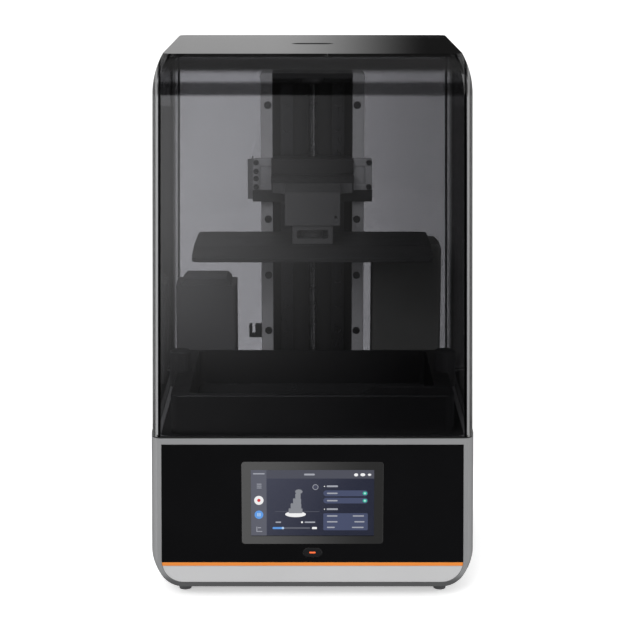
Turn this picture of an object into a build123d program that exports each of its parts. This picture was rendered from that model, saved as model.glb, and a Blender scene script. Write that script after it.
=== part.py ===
from build123d import *
import os
from math import sqrt

# A desktop resin printer, in millimetres. +Z is up and the front faces -Y. The origin is on the
# floor, in the middle of the footprint.

# ------------------------------------------------------------------ overall size
width = 294.0
depth = 270.0
height = 490.0

# ------------------------------------------------------------------ clearances
slip = 0.2  # between a piece and the opening that it drops into
running = 0.05  # radial, between a shaft and its bore
screw_room = 0.15  # radial, around a screw's shank
sliding = 1.5  # between the carriage and what it passes

# ------------------------------------------------------------------ base shell
foot_height = 11.5
base_height = 138.9
side_draft = 1.8  # each side leans in by this over the base's height
lower_corner = 30.0
nose_inset = 6.6  # the sides have drawn in by this at the front plane
nose_depth = 25.0  # and reach full width this far behind it
rear_corner = 6.0
shell_wall = 3.0

# ------------------------------------------------------------------ front panel
rim_side = 3.8
rim_top = 5.3
rim_bottom = 3.8
panel_seat = 5.0  # depth of the recess that the front pieces fill
panel_face = 0.8  # the panel's face lies this far behind the rim
trim_height = 15.7
stripe_height = 3.2
stripe_face = 0.5
glass_width = 127.0
glass_height = 77.0
glass_thickness = 1.6
glass_face = 0.4
glass_centre = 90.3  # height above the floor
display_width = 110.5
display_height = 62.0
display_frame = 3.0
button_width = 17.0
button_height = 9.0
button_centre = 43.5
light_width = 5.6
light_height = 1.5

# ------------------------------------------------------------------ deck
deck_rim = 9.0  # the shell's top face around the deck plate
deck_rear = 21.0  # the same at the back
deck_thickness = 4.0
deck_ledge = 8.0
ledge_thickness = 3.0

# ------------------------------------------------------------------ build plate
plate_width = 219.0
plate_depth = 126.0
plate_front = 60.0  # behind the front plane
plate_bottom = 148.3  # above the deck, as the carriage stands
plate_stop = 0.4  # left above the film at the carriage's lowest
plate_edge = 3.8  # thickness along the front edge
plate_rise = 4.3  # and this much more under the clamp
plate_back_drop = 1.8  # the top is lower again by this at the back edge
plate_slope = 38.0  # depth of the slope behind the front edge
plate_corner = 6.0

# ------------------------------------------------------------------ vat
plate_room = 1.5  # between the plate's ends and the vat's walls
vat_front = 15.0
vat_lip = 9.0  # thickness of the front wall
vat_rear_wall = 3.5
vat_shoulder = 16.5  # thickness of each side wall
vat_height = 35.6
vat_corner = 9.0
spout_rise = 7.0
spout_start = 57.6
spout_end = 122.0
spout_slope = 15.6
film_thickness = 0.4
film_frame_width = 7.0
film_frame_thickness = 2.0
knob_reach = 13.4  # from the side of the vat's cavity
knob_x = plate_width / 2 + plate_room + knob_reach
knob_y = 110.0
knob_diameter = 20.0
knob_height = 46.0
knob_shank = 5.0
knob_tab = 9.0  # height of the tab that each knob clamps
knob_flutes = 16

# ------------------------------------------------------------------ tower
column_width = 100.0
column_front = 196.0
column_depth = 40.0
column_flange = 11.5
column_recess = 26.0
tower_gap = 38.0  # from the top of the column to the top of the hood
cap_thickness = 5.0
cap_chamfer = 3.0
column_screw_x = 43.0
column_screw_pitch = 55.5
column_screw_count = 5
column_screw_low = 54.0  # above the deck
rail_x = 25.0
rail_width = 12.0
rail_height = 8.0
rail_margin = 7.0
rail_hole_pitch = 25.0
screw_diameter = 8.0
screw_behind = 12.0  # behind the column's front
bearing_diameter = 22.0
bearing_height = 5.0

# ------------------------------------------------------------------ carriage
carriage_width = 115.0
carriage_bottom = 184.4  # above the deck
carriage_height = 41.0
carriage_plate_depth = 8.0
carriage_bar_height = 11.0
carriage_bar_rise = 3.0  # the bar stands this far in front of the plate
shelf_width = 79.0
shelf_depth = 22.0
shelf_thickness = 5.5
shelf_height = 20.6  # of its underside above the carriage's bottom
block_width = 25.6
block_length = 34.0
block_height = 13.0
arm_root = 76.0
arm_width = 51.0
arm_front = 107.0
arm_thickness = 31.0
clamp_width = 38.0
clamp_depth = 42.0
clamp_window_width = 29.0
clamp_window_height = 7.8

# ------------------------------------------------------------------ hood
hood_wall = 3.0
hood_step = 2.0  # the hood stands in from the base's top edge
hood_front = 1.5
hood_rear = 14.0  # from the base's back
hood_draft = 5.0
crown_height = 35.0
crown_inset = 9.0
hood_corner = 8.0
seal_thickness = 1.0
slot_length = 38.5
slot_width = 16.0
slot_depth = 12.0
slot_wall = 1.6

# ------------------------------------------------------------------ air filter and resin bottle
filter_left = -134.0
filter_width = 59.0
filter_front = 194.0
filter_depth = 44.0
filter_height = 99.6
filter_cap_height = 6.5
filter_cap_inset = 11.0  # the cap is this much narrower than the housing
filter_wall = 2.0
bottle_x = 92.0
bottle_width = 68.0
bottle_depth = 44.0
bottle_front = 196.0
bottle_top = 140.6  # above the deck
bottle_wall = 1.6
feeder_height = 24.0
bottle_chamfer = 5.0

# ------------------------------------------------------------------ inside the base
tunnel_height = 74.0
tunnel_wall = 2.0
tunnel_foot_width = 160.0
tunnel_foot_depth = 92.0
lens_thickness = 3.0
led_columns = 8
led_rows = 5
led_diameter = 7.0
sink_base = 5.0
sink_height = 26.0
sink_fins = 13
motor_size = 42.3
motor_length = 40.0
motor_drop = 28.0  # from the deck's underside to the motor's face
motor_shaft = 5.0
coupling_diameter = 19.0
coupling_length = 25.0
fan_size = 80.0
fan_depth = 25.0
fan_x = -85.0
fan_bore = 75.0
fan_hub = 34.0
fan_blades = 7
fan_screw_pitch = 71.5
service_x = 95.0  # inlet and switch, on the back
service_z = 45.0
inlet_width = 30.0
inlet_height = 24.0
rocker_width = 13.0
rocker_height = 19.5
rocker_gap = 0.5  # each side of the rocker, in its frame
frame_wall = 1.5
switch_width = rocker_width + 2 * (rocker_gap + frame_wall)
switch_height = rocker_height + 2 * (rocker_gap + frame_wall)
switch_spacing = 34.0
usb_width = 14.0
usb_height = 7.0

# ------------------------------------------------------------------ worked-out places
seat = (Align.CENTER, Align.CENTER, Align.MIN)
hang = (Align.CENTER, Align.CENTER, Align.MAX)
base_top = foot_height + base_height
cavity_top = base_top - deck_thickness - ledge_thickness
deck_under = base_top - deck_thickness


def from_front(distance):
    """Y of a point that lies this far behind the front plane."""
    return distance - depth / 2


def nose_setback(distance):
    """How far the sides have drawn in at this distance behind the front plane."""
    if distance >= nose_depth:
        return 0.0
    radius = (nose_depth**2 + nose_inset**2) / (2 * nose_inset)
    return radius - sqrt(radius**2 - (nose_depth - distance) ** 2)


def base_block(margin, start, end, top):
    """The base's outline between two distances behind the front plane, drawn in by a margin."""
    steps = 4
    stations = [start + (nose_depth - start) * n / steps for n in range(steps + 1)]
    with BuildPart() as block:
        for station in stations:
            inset = nose_setback(station) + margin
            low = width / 2 - inset
            high = low - side_draft
            with BuildSketch(Plane.XZ.offset(-from_front(station))) as outline:
                with BuildLine():
                    Polyline(
                        (-low, foot_height + margin),
                        (low, foot_height + margin),
                        (high, top),
                        (-high, top),
                        close=True,
                    )
                make_face()
                corners = outline.vertices().group_by(Axis.Y)[0]
                fillet(corners, lower_corner - inset)
        loft()
        rear_face = block.faces().sort_by(Axis.Y)[-1]
        extrude(rear_face, amount=end - nose_depth)
    return block.part


def fascia_slice(low, high, face, gap):
    """The slice of the front recess between two heights, its face this far behind the rim."""
    side = width / 2 - nose_inset - rim_side - gap
    bottom = foot_height + rim_bottom + gap
    with BuildPart() as piece:
        with BuildSketch(Plane.XZ.offset(-from_front(panel_seat))) as outline:
            with BuildLine():
                Polyline(
                    (-side, bottom),
                    (side, bottom),
                    (side - side_draft, base_top - rim_top - gap),
                    (side_draft - side, base_top - rim_top - gap),
                    close=True,
                )
            make_face()
            corners = outline.vertices().group_by(Axis.Y)[0]
            fillet(corners, lower_corner - nose_inset - rim_side - gap)
        extrude(amount=panel_seat - face)
        with Locations((0, from_front(0), low)):
            Box(width, 4 * panel_seat, high - low, align=seat, mode=Mode.INTERSECT)
    return piece.part


def hood_block(shrink):
    """The hood's outer shape, or its inner one when it is shrunk by the wall."""
    steps = 4
    start = base_top + seal_thickness
    shoulder = height - crown_height
    rise = crown_height - shrink
    radius = (crown_height**2 + crown_inset**2) / (2 * crown_inset)
    half = width / 2 - side_draft - hood_step - shrink
    front = from_front(hood_front + shrink)
    back = from_front(depth - hood_rear - shrink)
    with BuildPart() as block:
        for z, inset in ((start, 0.0), (shoulder, hood_draft)):
            with BuildSketch(Plane.XY.offset(z)):
                with Locations((0, (front + back) / 2)):
                    size = back - front - 2 * inset
                    RectangleRounded(2 * (half - inset), size, hood_corner - shrink)
        loft(ruled=True)
    with BuildPart() as crown:
        for step in range(steps + 1):
            z = rise * step / steps
            inset = hood_draft + radius - sqrt(radius**2 - z**2)
            with BuildSketch(Plane.XY.offset(shoulder + z)):
                with Locations((0, (front + back) / 2)):
                    size = back - front - 2 * inset
                    RectangleRounded(2 * (half - inset), size, hood_corner - shrink)
        loft()
    with BuildPart() as whole:
        add(block.part)
        add(crown.part)
    return whole.part


def cap_screw(head, shank, length):
    """A socket-head screw: its head stands on Z = 0 and its shank hangs below."""
    with BuildPart() as screw:
        Cylinder(head / 2, head / 2, align=seat)
        chamfer(screw.edges().group_by(Axis.Z)[-1], head / 16)
        Cylinder(shank / 2, length, align=hang)
        with BuildSketch(Plane.XY.offset(head / 2)):
            RegularPolygon(head / 4, 6)
        extrude(amount=-head / 4, mode=Mode.SUBTRACT)
    return screw.part


os.makedirs("parts", exist_ok=True)

# ================================================================== base
foot_x = width / 2 - lower_corner
foot_front = from_front(28.0)
foot_back = from_front(depth - 28.0)
foot_diameter = 15.0
foot_pocket = 1.5
foot_places = [(x, y) for x in (-foot_x, foot_x) for y in (foot_front, foot_back)]
floor_opening_width = 2 * foot_x - 30.0
floor_opening_depth = depth - 70.0
bottom_lap = 6.0
bottom_thickness = 1.5
window_width = display_width + 2 * display_frame
window_height = display_height + 2 * display_frame
fan_z = foot_height + base_height / 2 - 4.0
usb_x = 20.0
deck_half = width / 2 - side_draft - deck_rim
deck_front = from_front(deck_rim)
deck_back = from_front(depth - deck_rear)
deck_middle = (deck_front + deck_back) / 2
deck_length = deck_back - deck_front

with BuildPart() as base_shell:
    add(base_block(0.0, 0.0, depth, base_top))
    back_face = base_shell.faces().sort_by(Axis.Y)[-1]
    top_edge = back_face.edges().sort_by(Axis.Z)[-1]
    fillet([e for e in back_face.edges() if e.center().Z < top_edge.center().Z], rear_corner)
    add(
        base_block(shell_wall, panel_seat + shell_wall, depth - shell_wall, cavity_top),
        mode=Mode.SUBTRACT,
    )
    add(fascia_slice(foot_height, base_top, 0.0, 0.0), mode=Mode.SUBTRACT)
    # deck recess, with a ledge around the opening below it
    with BuildSketch(Plane.XY.offset(base_top)):
        with Locations((0, deck_middle)):
            RectangleRounded(2 * deck_half, deck_length, hood_corner)
    extrude(amount=-deck_thickness, mode=Mode.SUBTRACT)
    with BuildSketch(Plane.XY.offset(deck_under)):
        with Locations((0, deck_middle)):
            Rectangle(2 * (deck_half - deck_ledge), deck_length - 2 * deck_ledge)
    extrude(amount=-ledge_thickness, mode=Mode.SUBTRACT)
    # display window and button hole in the wall behind the front panel
    with BuildSketch(Plane.XZ.offset(-from_front(panel_seat + shell_wall))):
        with Locations((0, glass_centre)):
            Rectangle(window_width + 2 * slip, window_height + 2 * slip)
        with Locations((0, button_centre)):
            SlotOverall(button_width + 2 * slip, button_height + 2 * slip)
    extrude(amount=shell_wall, mode=Mode.SUBTRACT)
    # underside: opening, recess for the bottom plate, pockets for the feet
    with BuildSketch(Plane.XY.offset(foot_height)):
        Rectangle(floor_opening_width, floor_opening_depth)
    extrude(amount=shell_wall, mode=Mode.SUBTRACT)
    with BuildSketch(Plane.XY.offset(foot_height)):
        lap = 2 * bottom_lap
        Rectangle(floor_opening_width + lap, floor_opening_depth + lap)
    extrude(amount=bottom_thickness, mode=Mode.SUBTRACT)
    with BuildSketch(Plane.XY.offset(foot_height - foot_pocket)):
        with Locations(*foot_places):
            Circle(foot_diameter / 2)
    extrude(amount=2 * foot_pocket, mode=Mode.SUBTRACT)
    # back wall: fan, inlet, switch and USB openings
    with BuildSketch(Plane.XZ.offset(-from_front(depth))):
        with Locations((fan_x, fan_z)):
            Circle(fan_bore / 2)
            with GridLocations(fan_screw_pitch, fan_screw_pitch, 2, 2):
                Circle(2.0 + screw_room)
        with Locations((service_x, service_z)):
            Rectangle(inlet_width + 2 * slip, inlet_height + 2 * slip)
        with Locations((service_x - switch_spacing, service_z)):
            Rectangle(switch_width + 2 * slip, switch_height + 2 * slip)
        with Locations((usb_x, service_z)):
            Rectangle(usb_width + 2 * slip, usb_height + 2 * slip)
    extrude(amount=2 * shell_wall, mode=Mode.SUBTRACT)
base_shell.part.label = "base_shell"
export_step(base_shell.part, "parts/base_shell.step")

with BuildPart() as bottom_plate:
    plate_fit = 2 * (bottom_lap - slip)
    with Locations((0, 0, foot_height)):
        Box(
            floor_opening_width + plate_fit,
            floor_opening_depth + plate_fit,
            bottom_thickness,
            align=seat,
        )
    # rows of cooling slots under the light engine
    with BuildSketch(Plane.XY.offset(foot_height)):
        with GridLocations(14.0, 44.0, 9, 3):
            SlotOverall(34.0, 4.0, rotation=90)
    extrude(amount=bottom_thickness, mode=Mode.SUBTRACT)
bottom_plate.part.label = "bottom_plate"
export_step(bottom_plate.part, "parts/bottom_plate.step")

with BuildPart() as feet:
    with BuildSketch(Plane.XY.offset(foot_height + foot_pocket)):
        with Locations(*foot_places):
            Circle(foot_diameter / 2 - slip)
    extrude(amount=-2 * foot_pocket)
    with BuildSketch(Plane.XY.offset(foot_height - foot_pocket)):
        with Locations(*foot_places):
            Circle(foot_diameter / 2 - slip)
    extrude(amount=-(foot_height - foot_pocket), taper=10)
feet.part.label = "feet"
export_step(feet.part, "parts/feet.step")

# ================================================================== front
trim_low = foot_height + rim_bottom
trim_high = trim_low + trim_height
stripe_high = trim_high + stripe_height

with BuildPart() as lower_trim:
    add(fascia_slice(trim_low, trim_high, panel_face, slip))
lower_trim.part.label = "lower_trim"
export_step(lower_trim.part, "parts/lower_trim.step")

with BuildPart() as accent_stripe:
    add(fascia_slice(trim_high, stripe_high, stripe_face, slip))
accent_stripe.part.label = "accent_stripe"
export_step(accent_stripe.part, "parts/accent_stripe.step")

with BuildPart() as front_panel:
    add(fascia_slice(stripe_high, base_top, panel_face, slip))
    with BuildSketch(Plane.XZ.offset(-from_front(0))):
        with Locations((0, glass_centre)):
            RectangleRounded(glass_width + 2 * slip, glass_height + 2 * slip, 3.0)
    extrude(amount=-(glass_face + glass_thickness), mode=Mode.SUBTRACT)
    with BuildSketch(Plane.XZ.offset(-from_front(panel_seat))):
        with Locations((0, glass_centre)):
            Rectangle(display_width + 2 * slip, display_height + 2 * slip)
        with Locations((0, button_centre)):
            SlotOverall(button_width + 2 * slip, button_height + 2 * slip)
    extrude(amount=panel_seat, mode=Mode.SUBTRACT)
front_panel.part.label = "front_panel"
export_step(front_panel.part, "parts/front_panel.step")

with BuildPart() as touch_glass:
    with BuildSketch(Plane.XZ.offset(-from_front(glass_face + glass_thickness))):
        with Locations((0, glass_centre)):
            RectangleRounded(glass_width, glass_height, 3.0 - slip)
    extrude(amount=glass_thickness)
    chamfer(touch_glass.faces().sort_by(Axis.Y)[0].edges(), 0.25)
touch_glass.part.label = "touch_glass"
export_step(touch_glass.part, "parts/touch_glass.step")

with BuildPart() as display_module:
    with BuildSketch(Plane.XZ.offset(-from_front(panel_seat + shell_wall))):
        with Locations((0, glass_centre)):
            Rectangle(window_width, window_height)
    extrude(amount=shell_wall)
    with BuildSketch(Plane.XZ.offset(-from_front(panel_seat))):
        with Locations((0, glass_centre)):
            Rectangle(display_width, display_height)
    extrude(amount=panel_seat - glass_face - glass_thickness)
display_module.part.label = "display_module"
export_step(display_module.part, "parts/display_module.step")

with BuildPart() as power_button:
    with BuildSketch(Plane.XZ.offset(-from_front(panel_seat + 1.0))):
        with Locations((0, button_centre)):
            SlotOverall(button_width, button_height)
    extrude(amount=panel_seat + 1.0 - panel_face)
    fillet(power_button.faces().sort_by(Axis.Y)[0].edges(), 0.5)
    with BuildSketch(Plane.XZ.offset(-from_front(panel_face))):
        with Locations((0, button_centre)):
            SlotOverall(light_width, light_height)
    extrude(amount=-2.0, mode=Mode.SUBTRACT)
power_button.part.label = "power_button"
export_step(power_button.part, "parts/power_button.step")

with BuildPart() as status_light:
    with BuildSketch(Plane.XZ.offset(-from_front(panel_face + 2.0))):
        with Locations((0, button_centre)):
            SlotOverall(light_width, light_height)
    extrude(amount=2.0)
status_light.part.label = "status_light"
export_step(status_light.part, "parts/status_light.step")

# ================================================================== deck
screen_width = plate_width
screen_depth = plate_depth - 3.0
screen_middle = from_front(plate_front + plate_depth / 2)
glass_rise = film_frame_thickness - slip  # the screen stands up into the vat's film frame
screen_thickness = 5.0
column_middle = from_front(column_front + column_depth / 2)
screw_y = from_front(column_front + screw_behind)
knob_places = [(-knob_x, from_front(knob_y)), (knob_x, from_front(knob_y))]

with BuildPart() as deck_plate:
    with BuildSketch(Plane.XY.offset(deck_under)):
        with Locations((0, deck_middle)):
            fit = 2 * slip
            RectangleRounded(2 * deck_half - fit, deck_length - fit, hood_corner - slip)
        with Locations((0, screen_middle)):
            fit = 2 * slip
            Rectangle(screen_width + fit, screen_depth + fit, mode=Mode.SUBTRACT)
        with Locations((0, screw_y)):
            Circle(coupling_diameter / 2 + 1.0, mode=Mode.SUBTRACT)
        with Locations(*knob_places):
            Circle(knob_shank / 2 + running, mode=Mode.SUBTRACT)
    extrude(amount=deck_thickness)
deck_plate.part.label = "deck_plate"
export_step(deck_plate.part, "parts/deck_plate.step")

with BuildPart() as exposure_screen:
    with Locations((0, screen_middle, base_top + glass_rise)):
        Box(screen_width, screen_depth, screen_thickness, align=hang)
exposure_screen.part.label = "exposure_screen"
export_step(exposure_screen.part, "parts/exposure_screen.step")

# ================================================================== vat
cavity_half = plate_width / 2 + plate_room
cavity_front = from_front(vat_front + vat_lip)
cavity_back = from_front(plate_front + plate_depth + plate_room)
vat_half = cavity_half + vat_shoulder
vat_start = from_front(vat_front)
vat_end = cavity_back + vat_rear_wall
vat_middle = (vat_start + vat_end) / 2
cavity_middle = (cavity_front + cavity_back) / 2
cavity_length = cavity_back - cavity_front
cavity_corner = 7.0
vat_top = base_top + vat_height
pocket_diameter = knob_diameter + 2.0
frame_outer_width = 2 * (cavity_half + film_frame_width)
frame_outer_depth = cavity_length + vat_rear_wall + film_frame_width - slip
frame_middle = cavity_middle + (vat_rear_wall - film_frame_width - slip) / 2

with BuildPart() as vat_body:
    with BuildSketch(Plane.XY.offset(base_top)):
        with Locations((0, vat_middle)):
            RectangleRounded(2 * vat_half, vat_end - vat_start, vat_corner)
    extrude(amount=vat_height)
    chamfer(vat_body.faces().sort_by(Axis.Z)[-1].edges(), 0.8)
    # raised pouring lip along the right of the front wall
    with BuildSketch(Plane.XZ.offset(-(cavity_front))):
        with BuildLine():
            Polyline(
                (spout_start - spout_slope, vat_top - 1.0),
                (spout_start, vat_top + spout_rise),
                (spout_end, vat_top + spout_rise),
                (spout_end, vat_top - 1.0),
                close=True,
            )
        make_face()
    extrude(amount=vat_lip - 1.0)
    # resin cavity, and a recess below it for the film and its frame
    with BuildSketch(Plane.XY.offset(base_top)):
        with Locations((0, cavity_middle)):
            RectangleRounded(2 * cavity_half, cavity_length, cavity_corner)
    extrude(amount=vat_height + 2 * spout_rise, mode=Mode.SUBTRACT)
    with BuildSketch(Plane.XY.offset(base_top)):
        with Locations((0, frame_middle)):
            Rectangle(frame_outer_width + slip, frame_outer_depth + slip)
    extrude(amount=film_frame_thickness + film_thickness, mode=Mode.SUBTRACT)
    # open pockets for the knobs, down to the tabs that they clamp
    with BuildSketch(Plane.XY.offset(base_top + knob_tab)):
        for x, y in knob_places:
            side = 1 if x > 0 else -1
            with Locations((x, y)):
                Circle(pocket_diameter / 2)
            with Locations((x + side * knob_diameter / 2, y)):
                Rectangle(knob_diameter, pocket_diameter)
    extrude(amount=vat_height, mode=Mode.SUBTRACT)
    with BuildSketch(Plane.XY.offset(base_top)):
        with Locations(*knob_places):
            Circle(knob_shank / 2 + running)
    extrude(amount=knob_tab, mode=Mode.SUBTRACT)
vat_body.part.label = "vat_body"
export_step(vat_body.part, "parts/vat_body.step")

with BuildPart() as release_film:
    with BuildSketch(Plane.XY.offset(base_top + film_frame_thickness)):
        with Locations((0, frame_middle)):
            Rectangle(frame_outer_width, frame_outer_depth)
    extrude(amount=film_thickness)
release_film.part.label = "release_film"
export_step(release_film.part, "parts/release_film.step")

with BuildPart() as film_frame:
    with BuildSketch(Plane.XY.offset(base_top)):
        with Locations((0, frame_middle)):
            Rectangle(frame_outer_width, frame_outer_depth)
        with Locations((0, cavity_middle)):
            opening = (2 * cavity_half, cavity_length)
            RectangleRounded(*opening, film_frame_thickness, mode=Mode.SUBTRACT)
    extrude(amount=film_frame_thickness)
film_frame.part.label = "film_frame"
export_step(film_frame.part, "parts/film_frame.step")


def vat_knob(x, y):
    """A fluted knob on a shank that goes through the vat's tab into the deck."""
    low = base_top + knob_tab
    high = base_top + knob_tab + knob_height
    collar = 12.0
    flute = knob_diameter / 14
    with BuildPart() as knob:
        with BuildSketch(Plane.XY.offset(low)):
            with Locations((x, y)):
                Circle(knob_diameter / 2 - 2.5)
        extrude(amount=collar)
        with BuildSketch(Plane.XY.offset(low + collar)):
            with Locations((x, y)):
                Circle(knob_diameter / 2)
        extrude(amount=high - low - collar)
        chamfer(knob.faces().sort_by(Axis.Z)[-1].edges(), 1.2)
        with BuildSketch(Plane.XY.offset(low + collar)):
            with Locations((x, y)):
                with PolarLocations(knob_diameter / 2 + flute / 3, knob_flutes):
                    Circle(flute / 2)
        extrude(amount=high - low - collar - 3.0, mode=Mode.SUBTRACT)
        with BuildSketch(Plane.XY.offset(low)):
            with Locations((x, y)):
                Circle(knob_shank / 2)
        extrude(amount=-(knob_tab + deck_thickness - 1.0))
    return knob.part


with BuildPart() as vat_knob_left:
    add(vat_knob(*knob_places[0]))
vat_knob_left.part.label = "vat_knob_left"
export_step(vat_knob_left.part, "parts/vat_knob_left.step")

with BuildPart() as vat_knob_right:
    add(vat_knob(*knob_places[1]))
vat_knob_right.part.label = "vat_knob_right"
export_step(vat_knob_right.part, "parts/vat_knob_right.step")

# ================================================================== tower
column_top = height - tower_gap
column_length = column_top - base_top
recess_half = column_width / 2 - column_flange
recess_floor = from_front(column_front + column_recess)
column_face = from_front(column_front)
column_screw_places = [
    (x, column_face, base_top + column_screw_low + column_screw_pitch * n)
    for x in (-column_screw_x, column_screw_x)
    for n in range(column_screw_count)
]
column_screw_head = 7.2
column_screw_shank = 3.0
column_screw_sink = 2.8  # the heads stand in counterbores, clear of the carriage

with BuildPart() as column:
    with BuildSketch(Plane.XY.offset(base_top)):
        with Locations((0, column_middle)):
            RectangleRounded(column_width, column_depth, 1.2)
        with Locations((0, column_face)):
            Rectangle(2 * recess_half, 2 * column_recess, mode=Mode.SUBTRACT)
        # weight-saving chambers behind the recess
        with Locations((0, recess_floor + (column_depth - column_recess) / 2)):
            with GridLocations(30.0, 0, 3, 1):
                Rectangle(24.0, column_depth - column_recess - 7.0, mode=Mode.SUBTRACT)
    extrude(amount=column_length)
    with Locations(*[Location(p, (90, 0, 0)) for p in column_screw_places]):
        CounterBoreHole(
            column_screw_shank / 2 + screw_room,
            column_screw_head / 2 + screw_room,
            column_screw_sink,
            12.0,
        )
column.part.label = "column"
export_step(column.part, "parts/column.step")

with BuildPart() as column_cap:
    with BuildSketch(Plane.XY.offset(column_top)):
        with Locations((0, column_middle)):
            Rectangle(column_width + 1.0, column_depth + 1.0)
    extrude(amount=cap_thickness)
    chamfer(column_cap.edges().filter_by(Axis.Y).group_by(Axis.Z)[-1], cap_chamfer)
    with Locations((0, screw_y, column_top)):
        Cylinder(bearing_diameter / 2 + 2.0, bearing_height, align=hang)
        Cylinder(bearing_diameter / 2, 2 * bearing_height, align=hang, mode=Mode.SUBTRACT)
column_cap.part.label = "column_cap"
export_step(column_cap.part, "parts/column_cap.step")

with BuildPart() as screw_bearing:
    with Locations((0, screw_y, column_top)):
        Cylinder(bearing_diameter / 2, bearing_height, align=hang)
        Cylinder(screw_diameter / 2 + running, bearing_height, align=hang, mode=Mode.SUBTRACT)
screw_bearing.part.label = "screw_bearing"
export_step(screw_bearing.part, "parts/screw_bearing.step")

with BuildPart() as column_screws:
    column_screw = cap_screw(column_screw_head, column_screw_shank, 8.0)
    sunk_places = [(x, y + column_screw_sink, z) for x, y, z in column_screw_places]
    with Locations(*[Location(p, (90, 0, 0)) for p in sunk_places]):
        add(column_screw)
column_screws.part.label = "column_screws"
export_step(column_screws.part, "parts/column_screws.step")

rail_low = base_top + rail_margin
rail_length = column_length - 2 * rail_margin
rail_hole_count = int(rail_length / rail_hole_pitch)

with BuildPart() as linear_rails:
    with BuildSketch(Plane.XY.offset(rail_low)):
        with Locations((-rail_x, recess_floor), (rail_x, recess_floor)):
            Rectangle(rail_width, rail_height, align=(Align.CENTER, Align.MAX))
        for x in (-rail_x, rail_x):
            with Locations(
                (x - rail_width / 2, recess_floor - rail_height / 2),
                (x + rail_width / 2, recess_floor - rail_height / 2),
            ):
                Circle(1.2, mode=Mode.SUBTRACT)
    extrude(amount=rail_length)
    with BuildSketch(Plane.XZ.offset(-(recess_floor - rail_height))):
        with Locations((0, rail_low + rail_length / 2)):
            with GridLocations(2 * rail_x, rail_hole_pitch, 2, rail_hole_count):
                Circle(3.0)
    extrude(amount=-3.5, mode=Mode.SUBTRACT)
linear_rails.part.label = "linear_rails"
export_step(linear_rails.part, "parts/linear_rails.step")

# ================================================================== drive
motor_face = deck_under - motor_drop
mount_thickness = 3.0
motor_boss = 22.0
coupling_low = motor_face + mount_thickness + 2.0
screw_low = coupling_low + coupling_length / 2
screw_high = column_top - 1.0
mount_half = motor_size / 2 + 6.0

with BuildPart() as stepper_motor:
    with BuildSketch(Plane.XY.offset(motor_face)) as motor_section:
        with Locations((0, screw_y)):
            Rectangle(motor_size, motor_size)
        chamfer(motor_section.vertices(), 4.0)
    extrude(amount=-motor_length)
    with Locations((0, screw_y, motor_face)):
        Cylinder(motor_boss / 2, 2.0, align=seat)
        Cylinder(motor_shaft / 2 + running, 20.0, mode=Mode.SUBTRACT)
    with BuildSketch(Plane.XY.offset(motor_face - 10.0)):
        with Locations((0, screw_y)):
            Rectangle(motor_size + 1.0, motor_size + 1.0)
            Rectangle(motor_size - 0.8, motor_size - 0.8, mode=Mode.SUBTRACT)
    extrude(amount=10.0 - motor_length + 20.0, mode=Mode.SUBTRACT)
stepper_motor.part.label = "stepper_motor"
export_step(stepper_motor.part, "parts/stepper_motor.step")

with BuildPart() as motor_mount:
    with Locations((0, screw_y, motor_face)):
        Box(2 * mount_half, motor_size, mount_thickness, align=seat)
        Cylinder(motor_boss / 2 + slip, mount_thickness, align=seat, mode=Mode.SUBTRACT)
    for x in (-mount_half, mount_half):
        inward = Align.MIN if x < 0 else Align.MAX
        with Locations((x, screw_y, motor_face + mount_thickness)):
            Box(
                mount_thickness,
                motor_size,
                motor_drop - mount_thickness,
                align=(inward, Align.CENTER, Align.MIN),
            )
motor_mount.part.label = "motor_mount"
export_step(motor_mount.part, "parts/motor_mount.step")

with BuildPart() as shaft_coupling:
    with BuildSketch(Plane.XY.offset(coupling_low)):
        with Locations((0, screw_y)):
            Circle(coupling_diameter / 2)
    extrude(amount=coupling_length / 2)
    with BuildSketch(Plane.XY.offset(screw_low)):
        with Locations((0, screw_y)):
            Circle(coupling_diameter / 2)
            Circle(screw_diameter / 2 + running, mode=Mode.SUBTRACT)
    extrude(amount=coupling_length / 2)
    # flexure slots around the middle
    for level in (-3.0, 0.0, 3.0):
        with BuildSketch(Plane.XY.offset(screw_low + level)):
            with Locations((0, screw_y)):
                Circle(coupling_diameter / 2)
                Circle(coupling_diameter / 2 - 2.0, mode=Mode.SUBTRACT)
        extrude(amount=1.0, mode=Mode.SUBTRACT)
    # the motor's spindle
    with Locations((0, screw_y, screw_low - 3.0)):
        Cylinder(motor_shaft / 2, screw_low - 3.0 - motor_face + 9.0, align=hang)
shaft_coupling.part.label = "shaft_coupling"
export_step(shaft_coupling.part, "parts/shaft_coupling.step")

with BuildPart() as lead_screw:
    with Locations((0, screw_y, screw_low)):
        Cylinder(screw_diameter / 2, screw_high - screw_low, align=seat)
    chamfer(lead_screw.edges().group_by(Axis.Z)[-1], 0.8)
lead_screw.part.label = "lead_screw"
export_step(lead_screw.part, "parts/lead_screw.step")

# ================================================================== carriage
carriage_low = base_top + carriage_bottom
carriage_top = carriage_low + carriage_height
carriage_back = column_face - sliding
carriage_face = carriage_back - carriage_plate_depth
boss_half = recess_half - sliding
block_front = recess_floor - block_height
ear_hole_x = carriage_width / 2 - 3.2
carriage_screw_drops = {-1: (3.3, 11.9, 18.8, 26.8), 1: (3.3, 26.8)}  # from the top, each side
carriage_screw_places = [
    (side * ear_hole_x, carriage_face, carriage_top - drop)
    for side, drops in carriage_screw_drops.items()
    for drop in drops
]
ear_pocket_x = 45.2
ear_pocket_width = 11.6
ear_pocket_height = 18.5
ear_pocket_drop = 16.2  # from the carriage's top to the pockets' middle
web_depth = 4.0
web_foot = 46.0
web_taper = 4.0
shelf_low = carriage_low + shelf_height
nut_flange = 20.0
nut_body = 11.0
nut_thickness = 4.0

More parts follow.
